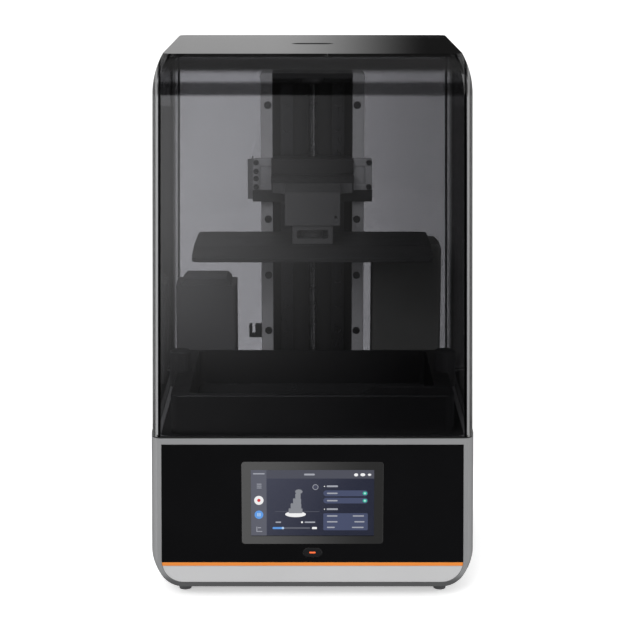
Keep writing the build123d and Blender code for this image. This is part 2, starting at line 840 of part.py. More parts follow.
with BuildPart() as carriage_plate:
    with Locations((0, carriage_back, carriage_low)):
        Box(
            carriage_width,
            carriage_plate_depth,
            carriage_height,
            align=(Align.CENTER, Align.MAX, Align.MIN),
        )
    chamfer(carriage_plate.edges().filter_by(Axis.Y).group_by(Axis.Z)[-1], 2.0)
    # boss that reaches into the tower, between the rail blocks and in front of them
    with Locations((0, carriage_back, carriage_low)):
        boss = (Align.CENTER, Align.MIN, Align.MIN)
        Box(2 * boss_half, block_front - carriage_back, carriage_height, align=boss)
        middle = 2 * (rail_x - block_width / 2 - slip)
        Box(middle, recess_floor - sliding - carriage_back, carriage_height, align=boss)
    # pockets on the ears
    with BuildSketch(Plane.XZ.offset(-carriage_face)):
        with Locations((0, carriage_top - ear_pocket_drop)):
            with GridLocations(2 * ear_pocket_x, 0, 2, 1):
                RectangleRounded(ear_pocket_width, ear_pocket_height, 1.0)
    extrude(amount=-2.5, mode=Mode.SUBTRACT)
    # shelf that carries the arm
    ledge = (Align.CENTER, Align.MAX, Align.MIN)
    with Locations((0, carriage_face, shelf_low)):
        Box(shelf_width, shelf_depth, shelf_thickness, align=ledge)
    # thicker bar along the foot of the plate
    with Locations((0, carriage_face, carriage_low)):
        Box(carriage_width, carriage_bar_rise, carriage_bar_height, align=ledge)
    # web between the ears, drawn in above the shelf
    with BuildSketch(Plane.XZ.offset(-carriage_face)):
        with BuildLine():
            shelf_top = shelf_low + shelf_thickness
            Polyline(
                (-shelf_width / 2, carriage_top - 1.0),
                (shelf_width / 2, carriage_top - 1.0),
                (shelf_width / 2, shelf_top + web_taper),
                (web_foot / 2, shelf_top),
                (-web_foot / 2, shelf_top),
                (-shelf_width / 2, shelf_top + web_taper),
                close=True,
            )
        make_face()
    extrude(amount=web_depth)
    # bore for the lead screw, with the nut's seat at its foot
    with Locations((0, screw_y, carriage_low)):
        Cylinder(screw_diameter / 2 + 1.0, carriage_height, align=seat, mode=Mode.SUBTRACT)
        Cylinder(nut_body / 2 + slip, 14.0, align=seat, mode=Mode.SUBTRACT)
    with Locations(*[Location(p, (90, 0, 0)) for p in carriage_screw_places]):
        Hole(1.5 + screw_room, carriage_plate_depth)
carriage_plate.part.label = "carriage_plate"
export_step(carriage_plate.part, "parts/carriage_plate.step")

with BuildPart() as carriage_screws:
    ear_screw = cap_screw(5.2, 3.0, carriage_plate_depth)
    with Locations(*[Location(p, (90, 0, 0)) for p in carriage_screw_places]):
        add(ear_screw)
carriage_screws.part.label = "carriage_screws"
export_step(carriage_screws.part, "parts/carriage_screws.step")

with BuildPart() as rail_blocks:
    block_low = carriage_low + 3.0
    with Locations((-rail_x, block_front, block_low), (rail_x, block_front, block_low)):
        corner = (Align.CENTER, Align.MIN, Align.MIN)
        Box(block_width, block_height - sliding, block_length, align=corner)
    with BuildSketch(Plane.XY.offset(carriage_low)):
        with Locations((-rail_x, recess_floor), (rail_x, recess_floor)):
            channel = (Align.CENTER, Align.MAX)
            Rectangle(rail_width + 2 * slip, rail_height + slip, align=channel)
    extrude(amount=carriage_height, mode=Mode.SUBTRACT)
rail_blocks.part.label = "rail_blocks"
export_step(rail_blocks.part, "parts/rail_blocks.step")

with BuildPart() as lead_nut:
    with Locations((0, screw_y, carriage_low)):
        Cylinder(nut_flange / 2, nut_thickness, align=hang)
        Cylinder(nut_body / 2, 13.0, align=seat)
        bore = screw_diameter / 2 + running
        Cylinder(bore, 60.0, mode=Mode.SUBTRACT)
lead_nut.part.label = "lead_nut"
export_step(lead_nut.part, "parts/lead_nut.step")

flag_thickness = 1.2
flag_reach = 5.0
flag_low = 11.0  # above the carriage's bottom
flag_back = from_front(column_front + 12.0)
travel_down = plate_bottom - film_frame_thickness - film_thickness - plate_stop
sensor_z = carriage_low + flag_low - travel_down - 4.0

with BuildPart() as limit_flag:
    side = -carriage_width / 2
    with BuildSketch(Plane.YZ.offset(side)):
        with BuildLine():
            Polyline(
                (carriage_face, carriage_top),
                (flag_back, carriage_top),
                (flag_back, carriage_low + flag_low),
                (flag_back - 6.0, carriage_low + flag_low),
                (flag_back - 9.0, carriage_top - 20.0),
                (carriage_face, carriage_top - 20.0),
                close=True,
            )
        make_face()
    extrude(amount=-flag_thickness)
    with Locations((side, carriage_face, carriage_top)):
        lip = (Align.MAX, Align.MIN, Align.MAX)
        Box(flag_reach, flag_thickness, carriage_height - 2.0, align=lip)
limit_flag.part.label = "limit_flag"
export_step(limit_flag.part, "parts/limit_flag.step")

with BuildPart() as limit_sensor:
    sensor_side = -column_width / 2
    with Locations((sensor_side, flag_back - 7.0, sensor_z)):
        body = (Align.MAX, Align.MIN, Align.MIN)
        Box(12.5, 11.0, 12.0, align=body)
    with Locations((side - flag_thickness / 2, flag_back - 8.0, sensor_z + 2.5)):
        slot = (Align.CENTER, Align.MIN, Align.MIN)
        Box(flag_thickness + 2.0, 14.0, 12.0, align=slot, mode=Mode.SUBTRACT)
limit_sensor.part.label = "limit_sensor"
export_step(limit_sensor.part, "parts/limit_sensor.step")

# ================================================================== arm and build plate
plate_low = base_top + plate_bottom
plate_top = plate_low + plate_edge + plate_rise
arm_back = carriage_face - shelf_depth + 2.0
arm_nose = from_front(arm_front)
arm_top = shelf_low
arm_bottom = arm_top - arm_thickness
flare_low = carriage_low + carriage_bar_height
clamp_front = arm_nose + 3.0
clamp_middle = clamp_front + clamp_depth / 2
clamp_window_z = (plate_top + arm_bottom) / 2
clamp_screw_places = [(x, clamp_front + 6.0) for x in (-9.0, 9.0)]
arm_hole_x = 21.5
arm_hole_z = arm_bottom + 8.0
arm_hole_diameter = 2.6
arm_waist = 14.0  # depth of the hollow curves
arm_bulge = 3.6
clamp_screw_diameter = 2.5
clamp_screw_reach = 5.0

with BuildPart() as arm_bracket:
    # flare under the shelf: wide at the carriage, drawn in by a hollow curve on each side
    with BuildSketch(Plane.XY.offset(arm_top)):
        with BuildLine():
            Polyline(
                (-arm_width / 2, arm_back - arm_waist),
                (-arm_width / 2, arm_nose),
                (arm_width / 2, arm_nose),
                (arm_width / 2, arm_back - arm_waist),
            )
            ThreePointArc(
                (arm_width / 2, arm_back - arm_waist),
                (arm_width / 2 + arm_bulge, arm_back - 5.0),
                (arm_root / 2, arm_back),
            )
            Polyline(
                (arm_root / 2, arm_back),
                (arm_root / 2, carriage_face),
                (-arm_root / 2, carriage_face),
                (-arm_root / 2, arm_back),
            )
            ThreePointArc(
                (-arm_root / 2, arm_back),
                (-arm_width / 2 - arm_bulge, arm_back - 5.0),
                (-arm_width / 2, arm_back - arm_waist),
            )
        make_face()
    extrude(amount=flare_low - arm_top)
    # full depth of the arm, between the flare and the nose, up to the carriage's foot bar
    with BuildSketch(Plane.XY.offset(arm_bottom)):
        with Locations((0, arm_nose)):
            body_depth = carriage_face - carriage_bar_rise - arm_nose
            Rectangle(arm_width, body_depth, align=(Align.CENTER, Align.MIN))
    extrude(amount=arm_thickness)
    # the underside rises towards the carriage
    with BuildSketch(Plane.YZ.offset(-arm_root)):
        with BuildLine():
            Polyline(
                (arm_back - 10.0, arm_bottom - 1.0),
                (carriage_face + 1.0, arm_bottom - 1.0),
                (carriage_face + 1.0, carriage_low),
                (arm_back, carriage_low),
                close=True,
            )
        make_face()
    extrude(amount=2 * arm_root, mode=Mode.SUBTRACT)
    with Locations(Location((arm_hole_x, arm_nose, arm_hole_z), (90, 0, 0))):
        Hole(arm_hole_diameter / 2, 6.0)
    with BuildSketch(Plane.XY.offset(arm_bottom)):
        with Locations(*clamp_screw_places):
            Circle(clamp_screw_diameter / 2 + screw_room)
    extrude(amount=clamp_screw_reach + 1.0, mode=Mode.SUBTRACT)
arm_bracket.part.label = "arm_bracket"
export_step(arm_bracket.part, "parts/arm_bracket.step")

with BuildPart() as clamp_block:
    with Locations((0, clamp_middle, plate_top)):
        Box(clamp_width, clamp_depth, arm_bottom - plate_top, align=seat)
    chamfer(clamp_block.edges().filter_by(Axis.Z), 1.0)
    with BuildSketch(Plane.XZ.offset(-clamp_front)):
        with Locations((0, clamp_window_z)):
            RectangleRounded(clamp_window_width, clamp_window_height, 1.5)
    extrude(amount=-12.0, mode=Mode.SUBTRACT)
    with BuildSketch(Plane.XY.offset(plate_top)):
        with Locations(*clamp_screw_places):
            Circle(clamp_screw_diameter / 2 + screw_room)
    extrude(amount=arm_bottom - plate_top, mode=Mode.SUBTRACT)
clamp_block.part.label = "clamp_block"
export_step(clamp_block.part, "parts/clamp_block.step")

with BuildPart() as clamp_screws:
    with BuildSketch(Plane.XY.offset(plate_top)):
        with Locations(*clamp_screw_places):
            Circle(clamp_screw_diameter / 2)
    extrude(amount=arm_bottom - plate_top + clamp_screw_reach)
clamp_screws.part.label = "clamp_screws"
export_step(clamp_screws.part, "parts/clamp_screws.step")

with BuildPart() as build_plate:
    # the top falls away to the front and a little to the back, so that resin runs off
    with BuildSketch(Plane.YZ.offset(-plate_width / 2)):
        with BuildLine():
            plate_nose = from_front(plate_front)
            plate_tail = plate_nose + plate_depth
            Polyline(
                (plate_nose, plate_low),
                (plate_nose, plate_low + plate_edge),
                (plate_nose + plate_slope, plate_top),
                (clamp_front + clamp_depth, plate_top),
                (plate_tail, plate_top - plate_back_drop),
                (plate_tail, plate_low),
                close=True,
            )
        make_face()
    extrude(amount=plate_width)
    upright = build_plate.edges().filter_by(Axis.Z)
    fillet(upright, plate_corner)
    chamfer(build_plate.faces().sort_by(Axis.Z)[0].edges(), 0.5)
build_plate.part.label = "build_plate"
export_step(build_plate.part, "parts/build_plate.step")

# ================================================================== hood
slot_y = from_front(130.0)

with BuildPart() as hood:
    add(hood_block(0.0))
    add(hood_block(hood_wall), mode=Mode.SUBTRACT)
    with BuildSketch(Plane.XY.offset(height)):
        with Locations((0, slot_y)):
            SlotOverall(slot_length, slot_width)
    extrude(amount=-2 * hood_wall, mode=Mode.SUBTRACT)
hood.part.label = "hood"
export_step(hood.part, "parts/hood.step")

with BuildPart() as hood_seal:
    seal_half = width / 2 - side_draft - hood_step
    seal_front = from_front(hood_front)
    seal_back = from_front(depth - hood_rear)
    with BuildSketch(Plane.XY.offset(base_top)):
        with Locations((0, (seal_front + seal_back) / 2)):
            length = seal_back - seal_front
            RectangleRounded(2 * seal_half, length, hood_corner)
            inner = hood_corner - hood_wall
            opening = (2 * (seal_half - hood_wall), length - 2 * hood_wall)
            RectangleRounded(*opening, inner, mode=Mode.SUBTRACT)
    extrude(amount=seal_thickness)
hood_seal.part.label = "hood_seal"
export_step(hood_seal.part, "parts/hood_seal.step")

with BuildPart() as hood_grip:
    flange = 4.0
    with BuildSketch(Plane.XY.offset(height)):
        with Locations((0, slot_y)):
            SlotOverall(slot_length - 2 * slip, slot_width - 2 * slip)
    extrude(amount=-slot_depth)
    with BuildSketch(Plane.XY.offset(height - hood_wall)):
        with Locations((0, slot_y)):
            SlotOverall(slot_length + 2 * flange, slot_width + 2 * flange)
    extrude(amount=-slot_wall)
    with BuildSketch(Plane.XY.offset(height)):
        with Locations((0, slot_y)):
            inset = 2 * (slip + slot_wall)
            SlotOverall(slot_length - inset, slot_width - inset)
    extrude(amount=-(slot_depth - slot_wall), mode=Mode.SUBTRACT)
hood_grip.part.label = "hood_grip"
export_step(hood_grip.part, "parts/hood_grip.step")

# ================================================================== air filter
filter_x = filter_left + filter_width / 2
filter_middle = from_front(filter_front + filter_depth / 2)
filter_top = base_top + filter_height
filter_fan_diameter = 38.0
filter_fan_z = base_top + 30.0
filter_fan_back = filter_middle + filter_depth / 2 - filter_wall - 1.5
filter_block_low = base_top + 58.0

with BuildPart() as filter_housing:
    with BuildSketch(Plane.XY.offset(base_top)):
        with Locations((filter_x, filter_middle)):
            RectangleRounded(filter_width, filter_depth, 4.0)
    extrude(amount=filter_height)
    with BuildSketch(Plane.XY.offset(base_top + filter_wall)):
        with Locations((filter_x, filter_middle)):
            inner = 2 * filter_wall
            RectangleRounded(filter_width - inner, filter_depth - inner, 2.0)
    extrude(amount=filter_height, mode=Mode.SUBTRACT)
    # outlet slots on the back and inlet slots beside the tower
    with BuildSketch(Plane.XZ.offset(-(filter_middle + filter_depth / 2))):
        with Locations((filter_x, filter_fan_z)):
            with GridLocations(0, 6.0, 1, 6):
                SlotOverall(36.0, 2.6)
    extrude(amount=2 * filter_wall, mode=Mode.SUBTRACT)
    with BuildSketch(Plane.YZ.offset(filter_left + filter_width)):
        with Locations((filter_middle, filter_block_low + 18.0)):
            with GridLocations(0, 6.0, 1, 5):
                SlotOverall(28.0, 2.6)
    extrude(amount=-2 * filter_wall, mode=Mode.SUBTRACT)
    # post for the fan's rotor
    with Locations(Location((filter_x, filter_fan_back + 1.5, filter_fan_z), (90, 0, 0))):
        Cylinder(1.5, 13.0, align=seat)
filter_housing.part.label = "filter_housing"
export_step(filter_housing.part, "parts/filter_housing.step")

with BuildPart() as filter_cap:
    with BuildSketch(Plane.XY.offset(filter_top)):
        with Locations((filter_x, filter_middle)):
            Rectangle(filter_width - filter_cap_inset, filter_depth - 3.0)
    extrude(amount=filter_cap_height)
    cap_edges = filter_cap.faces().sort_by(Axis.Z)[-1].edges().filter_by(Axis.Y)
    chamfer(cap_edges, 4.0)
    with BuildSketch(Plane.XY.offset(filter_top)):
        with Locations((filter_x, filter_middle)):
            lap = 2 * (filter_wall + slip)
            RectangleRounded(filter_width - lap, filter_depth - lap, 2.0)
    extrude(amount=-3.0)
filter_cap.part.label = "filter_cap"
export_step(filter_cap.part, "parts/filter_cap.step")

with BuildPart() as filter_block:
    block_fit = 2 * (filter_wall + 1.0)
    with Locations((filter_x, filter_middle, filter_block_low)):
        Box(filter_width - block_fit, filter_depth - block_fit, 36.0, align=seat)
filter_block.part.label = "filter_block"
export_step(filter_block.part, "parts/filter_block.step")


def axial_rotor(hub, tip, blades, thickness):
    """A fan rotor about the Z axis, from Z = 0 up: a hub and slanted blades."""
    with BuildPart() as rotor:
        Cylinder(hub / 2, thickness, align=seat)
        Cylinder(1.5 + running, 3 * thickness, mode=Mode.SUBTRACT)
        with PolarLocations(0, blades):
            with Locations(Location(((hub + tip) / 4, 0, thickness / 2), (35, 0, 0))):
                Box(tip / 2 - hub / 2 + 2.0, 1.4, thickness * 1.05)
        Cylinder(tip / 2, thickness, align=seat, mode=Mode.INTERSECT)
    return rotor.part


with BuildPart() as filter_fan:
    with Locations(Location((filter_x, filter_fan_back, filter_fan_z), (90, 0, 0))):
        add(axial_rotor(14.0, filter_fan_diameter, 7, 10.0))
filter_fan.part.label = "filter_fan"
export_step(filter_fan.part, "parts/filter_fan.step")

# ================================================================== resin feeder
bottle_middle = from_front(bottle_front + bottle_depth / 2)
bottle_low = base_top + feeder_height
bottle_high = base_top + bottle_top
neck_diameter = 26.0
neck_length = 14.0
cup_depth = feeder_height - 4.0

with BuildPart() as resin_feeder:
    with BuildSketch(Plane.XY.offset(base_top)):
        with Locations((bottle_x, bottle_middle)):
            RectangleRounded(bottle_width, bottle_depth, 4.0)
    extrude(amount=feeder_height)
    with Locations((bottle_x, bottle_middle, base_top + feeder_height)):
        Cylinder(neck_diameter / 2 + 5.0, cup_depth, align=hang, mode=Mode.SUBTRACT)
resin_feeder.part.label = "resin_feeder"
export_step(resin_feeder.part, "parts/resin_feeder.step")

with BuildPart() as resin_bottle:
    with BuildSketch(Plane.XY.offset(bottle_low)):
        with Locations((bottle_x, bottle_middle)):
            Rectangle(bottle_width, bottle_depth)
    extrude(amount=bottle_high - bottle_low)
    shoulder = resin_bottle.edges().filter_by(Axis.Y).group_by(Axis.Z)[-1].sort_by(Axis.X)[-1]
    chamfer(shoulder, bottle_chamfer)
    fillet(resin_bottle.edges().filter_by(Axis.Z), 3.5)
    with BuildSketch(Plane.XY.offset(bottle_low)):
        with Locations((bottle_x, bottle_middle)):
            Circle(neck_diameter / 2)
    extrude(amount=-neck_length)
    # hollow, open through the neck
    with BuildSketch(Plane.XY.offset(bottle_low + 2 * bottle_wall)):
        with Locations((bottle_x, bottle_middle)):
            inner = 2 * bottle_wall
            RectangleRounded(bottle_width - inner, bottle_depth - inner, 3.0)
    hollow = bottle_high - bottle_low - 2 * bottle_wall - 2 * bottle_chamfer
    extrude(amount=hollow, mode=Mode.SUBTRACT)
    with Locations((bottle_x, bottle_middle, bottle_low + 3 * bottle_wall)):
        Cylinder(neck_diameter / 2 - 2.0, 3 * neck_length, align=hang, mode=Mode.SUBTRACT)
    # short grip groove near the top
    with BuildSketch(Plane.XZ.offset(-from_front(bottle_front))):
        with Locations((bottle_x + bottle_width / 2 - 9.5, bottle_high - 9.5)):
            Rectangle(7.5, 2.6)
    extrude(amount=-1.0, mode=Mode.SUBTRACT)
resin_bottle.part.label = "resin_bottle"
export_step(resin_bottle.part, "parts/resin_bottle.step")

with BuildPart() as bottle_cap:
    with Locations((bottle_x, bottle_middle, bottle_low - 1.0)):
        Cylinder(neck_diameter / 2 + 2.5, neck_length + 2.0, align=hang)
    with Locations((bottle_x, bottle_middle, bottle_low - 1.0)):
        Cylinder(neck_diameter / 2 + running, neck_length - 1.0, align=hang, mode=Mode.SUBTRACT)
    with Locations((bottle_x, bottle_middle, bottle_low)):
        Cylinder(4.0, 3 * neck_length, align=hang, mode=Mode.SUBTRACT)
bottle_cap.part.label = "bottle_cap"
export_step(bottle_cap.part, "parts/bottle_cap.step")

# ================================================================== light engine
lens_top = base_top + glass_rise - screen_thickness
tunnel_top = lens_top - lens_thickness
tunnel_low = tunnel_top - tunnel_height
tunnel_lip = 6.0
led_board_thickness = 1.6

with BuildPart() as lens_plate:
    with Locations((0, screen_middle, lens_top)):
        Box(screen_width, screen_depth, lens_thickness, align=hang)
    with BuildSketch(Plane.XY.offset(tunnel_top)):
        with Locations((0, screen_middle)):
            for ring in range(1, 5):
                Circle(12.0 * ring + 1.0)
                Circle(12.0 * ring, mode=Mode.SUBTRACT)
    extrude(amount=0.8, mode=Mode.SUBTRACT)
lens_plate.part.label = "lens_plate"
export_step(lens_plate.part, "parts/lens_plate.step")

with BuildPart() as light_tunnel:
    for grow, mode in ((tunnel_wall, Mode.ADD), (0.0, Mode.SUBTRACT)):
        with BuildSketch(Plane.XY.offset(tunnel_low)):
            with Locations((0, screen_middle)):
                Rectangle(tunnel_foot_width + 2 * grow, tunnel_foot_depth + 2 * grow)
        with BuildSketch(Plane.XY.offset(tunnel_top)):
            with Locations((0, screen_middle)):
                mouth = 2 * (grow - tunnel_lip)
                Rectangle(screen_width + mouth, screen_depth + mouth)
        loft(mode=mode)
light_tunnel.part.label = "light_tunnel"
export_step(light_tunnel.part, "parts/light_tunnel.step")

with BuildPart() as led_board:
    with Locations((0, screen_middle, tunnel_low)):
        board = 2 * tunnel_wall
        Box(
            tunnel_foot_width + board,
            tunnel_foot_depth + board,
            led_board_thickness,
            align=hang,
        )
    with Locations((0, screen_middle, tunnel_low)):
        with GridLocations(
            tunnel_foot_width / led_columns, tunnel_foot_depth / led_rows, led_columns, led_rows
        ):
            Cylinder(led_diameter / 2, 3.0, align=seat)
led_board.part.label = "led_board"
export_step(led_board.part, "parts/led_board.step")

with BuildPart() as heat_sink:
    sink_top = tunnel_low - led_board_thickness
    sink_width = tunnel_foot_width + 2 * tunnel_wall
    sink_depth = tunnel_foot_depth + 2 * tunnel_wall
    with Locations((0, screen_middle, sink_top)):
        Box(sink_width, sink_depth, sink_base, align=hang)
    with Locations((0, screen_middle, sink_top - sink_base)):
        with GridLocations((sink_width - 2.0) / (sink_fins - 1), 0, sink_fins, 1):
            Box(2.0, sink_depth, sink_height - sink_base, align=hang)
heat_sink.part.label = "heat_sink"
export_step(heat_sink.part, "parts/heat_sink.step")

# ================================================================== cooling fan
fan_back = from_front(depth - shell_wall) - slip

with BuildPart() as fan_frame:
    with BuildSketch(Plane.XZ.offset(-fan_back)):
        with Locations((fan_x, fan_z)):
            RectangleRounded(fan_size, fan_size, 4.0)
            Circle(fan_bore / 2, mode=Mode.SUBTRACT)
            with GridLocations(fan_screw_pitch, fan_screw_pitch, 2, 2):
                Circle(2.0 + screw_room, mode=Mode.SUBTRACT)
    extrude(amount=fan_depth)
    # motor seat on three spokes
    with BuildSketch(Plane.XZ.offset(-fan_back)):
        with Locations((fan_x, fan_z)):
            Circle(fan_hub / 2)
            with PolarLocations(fan_bore / 4, 3):
                Rectangle(fan_bore / 2 + 1.0, 3.0)
    extrude(amount=3.0)
    with Locations(Location((fan_x, fan_back - 3.0, fan_z), (90, 0, 0))):
        Cylinder(1.5, fan_depth - 5.0, align=seat)
fan_frame.part.label = "fan_frame"
export_step(fan_frame.part, "parts/fan_frame.step")

with BuildPart() as fan_rotor:
    with Locations(Location((fan_x, fan_back - 4.0, fan_z), (90, 0, 0))):
        add(axial_rotor(fan_hub, fan_bore - 3.0, fan_blades, fan_depth - 6.0))
fan_rotor.part.label = "fan_rotor"
export_step(fan_rotor.part, "parts/fan_rotor.step")

with BuildPart() as fan_guard:
    guard_wire = 1.6
    ring_steps = 5
    with BuildSketch(Plane.XZ.offset(-from_front(depth - guard_wire))):
        with Locations((fan_x, fan_z)):
            for ring in range(1, ring_steps + 1):
                outer = (fan_bore / 2 - slip) * ring / ring_steps
                Circle(outer)
                Circle(outer - guard_wire, mode=Mode.SUBTRACT)
            with PolarLocations(0, 4):
                Rectangle(fan_bore - 2 * slip - guard_wire, guard_wire)
    extrude(amount=guard_wire)
fan_guard.part.label = "fan_guard"
export_step(fan_guard.part, "parts/fan_guard.step")

with BuildPart() as fan_screws:
    corners = [
        (fan_x + fan_screw_pitch / 2 * i, from_front(depth), fan_z + fan_screw_pitch / 2 * k)
        for i in (-1, 1)
        for k in (-1, 1)
    ]
    with Locations(*[Location(p, (90, 0, 0)) for p in corners]):
        Cylinder(2.0, shell_wall + fan_depth, align=seat)
fan_screws.part.label = "fan_screws"
export_step(fan_screws.part, "parts/fan_screws.step")

# ================================================================== electronics
rocker_x = service_x - switch_spacing
pivot_y = from_front(depth) - 4.0
pivot_diameter = 2.4
pivot_plane = Plane.YZ.offset(rocker_x)
supply_width = 40.0
supply_depth = 96.0
supply_height = 34.0
supply_gap = 3.0
supply_x = tunnel_foot_width / 2 + tunnel_wall + supply_gap + supply_width / 2
supply_y = from_front(depth - 46.0 - supply_depth / 2)
floor_top = foot_height + shell_wall
supply_low = floor_top + 4.0  # on stand-offs

with BuildPart() as power_inlet:
    with BuildSketch(Plane.XZ.offset(-from_front(depth))):
        with Locations((service_x, service_z)):
            Rectangle(inlet_width, inlet_height)
    extrude(amount=18.0)
    with BuildSketch(Plane.XZ.offset(-from_front(depth))):
        with Locations((service_x, service_z)):
            RectangleRounded(inlet_width - 6.0, inlet_height - 7.0, 3.0)
    extrude(amount=14.0, mode=Mode.SUBTRACT)
    with BuildSketch(Plane.XZ.offset(-(from_front(depth) - 14.0))):
        blade_gap = 7.0
        with Locations(
            (service_x - blade_gap, service_z),
            (service_x, service_z + 3.0),
            (service_x + blade_gap, service_z),
        ):
            Rectangle(2.0, 4.0)
    extrude(amount=-4.0)
power_inlet.part.label = "power_inlet"
export_step(power_inlet.part, "parts/power_inlet.step")

with BuildPart() as switch_frame:
    with BuildSketch(Plane.XZ.offset(-from_front(depth))):
        with Locations((rocker_x, service_z)):
            Rectangle(switch_width, switch_height)
            window = (switch_width - 2 * frame_wall, switch_height - 2 * frame_wall)
            Rectangle(*window, mode=Mode.SUBTRACT)
    extrude(amount=16.0)
    with BuildSketch(Plane.XZ.offset(-(from_front(depth) - 13.0))):
        with Locations((rocker_x, service_z)):
            Rectangle(switch_width, switch_height)
    extrude(amount=3.0)
    with BuildSketch(pivot_plane):
        with Locations((pivot_y, service_z)):
            Circle(pivot_diameter / 2 + running)
    extrude(amount=switch_width / 2, both=True, mode=Mode.SUBTRACT)
switch_frame.part.label = "switch_frame"
export_step(switch_frame.part, "parts/switch_frame.step")

with BuildPart() as power_rocker:
    with BuildSketch(Plane.YZ.offset(rocker_x - rocker_width / 2)):
        with BuildLine():
            rocker_half = rocker_height / 2 - 0.6
            Polyline(
                (from_front(depth) - 0.4, service_z - rocker_half),
                (from_front(depth) - 2.2, service_z),
                (from_front(depth) - 2.4, service_z + rocker_half - 0.6),
                (pivot_y - 3.5, service_z + 2.5),
                (pivot_y - 3.5, service_z - 2.5),
                close=True,
            )
        make_face()
    extrude(amount=rocker_width)
    # pivot pin, in the frame's two side walls
    with BuildSketch(pivot_plane):
        with Locations((pivot_y, service_z)):
            Circle(pivot_diameter / 2)
    extrude(amount=switch_width / 2 - slip, both=True)
power_rocker.part.label = "power_rocker"
export_step(power_rocker.part, "parts/power_rocker.step")

with BuildPart() as usb_port:
    with BuildSketch(Plane.XZ.offset(-from_front(depth))):
        with Locations((usb_x, service_z)):
            Rectangle(usb_width, usb_height)
            Rectangle(usb_width - 1.0, usb_height - 1.0, mode=Mode.SUBTRACT)
    extrude(amount=14.0)
    with BuildSketch(Plane.XZ.offset(-(from_front(depth) - 2.0))):
        with Locations((usb_x, service_z + 1.2)):
            Rectangle(usb_width - 2.6, 1.8)
    extrude(amount=10.0)
    with BuildSketch(Plane.XZ.offset(-(from_front(depth) - 12.0))):
        with Locations((usb_x, service_z)):
            Rectangle(usb_width, usb_height)
    extrude(amount=2.0)
usb_port.part.label = "usb_port"
export_step(usb_port.part, "parts/usb_port.step")

with BuildPart() as power_supply:
    with Locations((supply_x, supply_y, supply_low)):
        Box(supply_width, supply_depth, supply_height, align=seat)
    with BuildSketch(Plane.XY.offset(supply_low + supply_height)):
        with Locations((supply_x, supply_y)):
            with GridLocations(8.0, 8.0, 4, 9):
                Circle(2.2)
    extrude(amount=-0.8, mode=Mode.SUBTRACT)
power_supply.part.label = "power_supply"
export_step(power_supply.part, "parts/power_supply.step")

board_x = width / 2 - shell_wall - 16.0
board_length = 120.0
board_height = 80.0
board_y = from_front(40.0 + board_length / 2)
board_z = floor_top + 22.0

with BuildPart() as mainboard:
    with Locations((-board_x, board_y, board_z)):
        Box(1.6, board_length, board_height, align=seat)
    # processor, drivers and connectors on the inner face
    side = (Align.MIN, Align.CENTER, Align.CENTER)
    with Locations((-board_x + 0.8, board_y, board_z + board_height / 2)):
        Box(3.0, 24.0, 24.0, align=side)
    with Locations((-board_x + 0.8, board_y, board_z + 10.0)):
        with GridLocations(0, 22.0, 1, 5):
            Box(8.0, 14.0, 7.0, align=side)
    with Locations((-board_x + 0.8, board_y, board_z + board_height - 12.0)):
        with GridLocations(0, 30.0, 1, 4):
            Box(5.0, 10.0, 10.0, align=side)
mainboard.part.label = "mainboard"
export_step(mainboard.part, "parts/mainboard.step")
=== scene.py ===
import math
import bmesh
import bpy
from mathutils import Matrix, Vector


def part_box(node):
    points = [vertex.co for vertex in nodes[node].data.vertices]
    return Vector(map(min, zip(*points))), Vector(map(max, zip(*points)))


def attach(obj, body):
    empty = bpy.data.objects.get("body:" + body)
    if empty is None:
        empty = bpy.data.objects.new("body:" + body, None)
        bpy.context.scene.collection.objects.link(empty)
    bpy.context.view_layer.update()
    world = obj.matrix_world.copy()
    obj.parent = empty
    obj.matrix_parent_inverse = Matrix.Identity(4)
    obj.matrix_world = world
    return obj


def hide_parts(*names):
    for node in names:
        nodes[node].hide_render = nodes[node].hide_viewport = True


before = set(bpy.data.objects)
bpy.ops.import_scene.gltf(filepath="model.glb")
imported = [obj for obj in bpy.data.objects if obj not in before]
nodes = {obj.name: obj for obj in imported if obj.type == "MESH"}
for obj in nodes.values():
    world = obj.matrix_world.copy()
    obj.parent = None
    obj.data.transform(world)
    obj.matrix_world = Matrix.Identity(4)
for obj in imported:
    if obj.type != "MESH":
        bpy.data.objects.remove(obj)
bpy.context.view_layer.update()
scene = bpy.context.scene

MM = 0.001
DISPLAY_FRAME = 3 * MM  # round the display's lit area, in its module


# ---------------------------------------------------------------- camera

CAMERA_BACK = 1.747
CAMERA_HEIGHT = 0.620
CAMERA_DIP = 12.4
LENS_MM = 108.4
SENSOR_MM = 36.0
CLIP_END = 100

camera_data = bpy.data.cameras.new("camera")
camera_data.lens = LENS_MM
camera_data.sensor_width = SENSOR_MM
camera_data.clip_end = CLIP_END
camera = bpy.data.objects.new("camera", camera_data)
scene.collection.objects.link(camera)
camera.location = (0, -CAMERA_BACK, CAMERA_HEIGHT)
camera.rotation_euler = (math.radians(90 - CAMERA_DIP), 0, 0)
scene.camera = camera

scene.view_settings.view_transform = "Standard"
scene.view_settings.look = "None"


# ---------------------------------------------------------------- node helpers

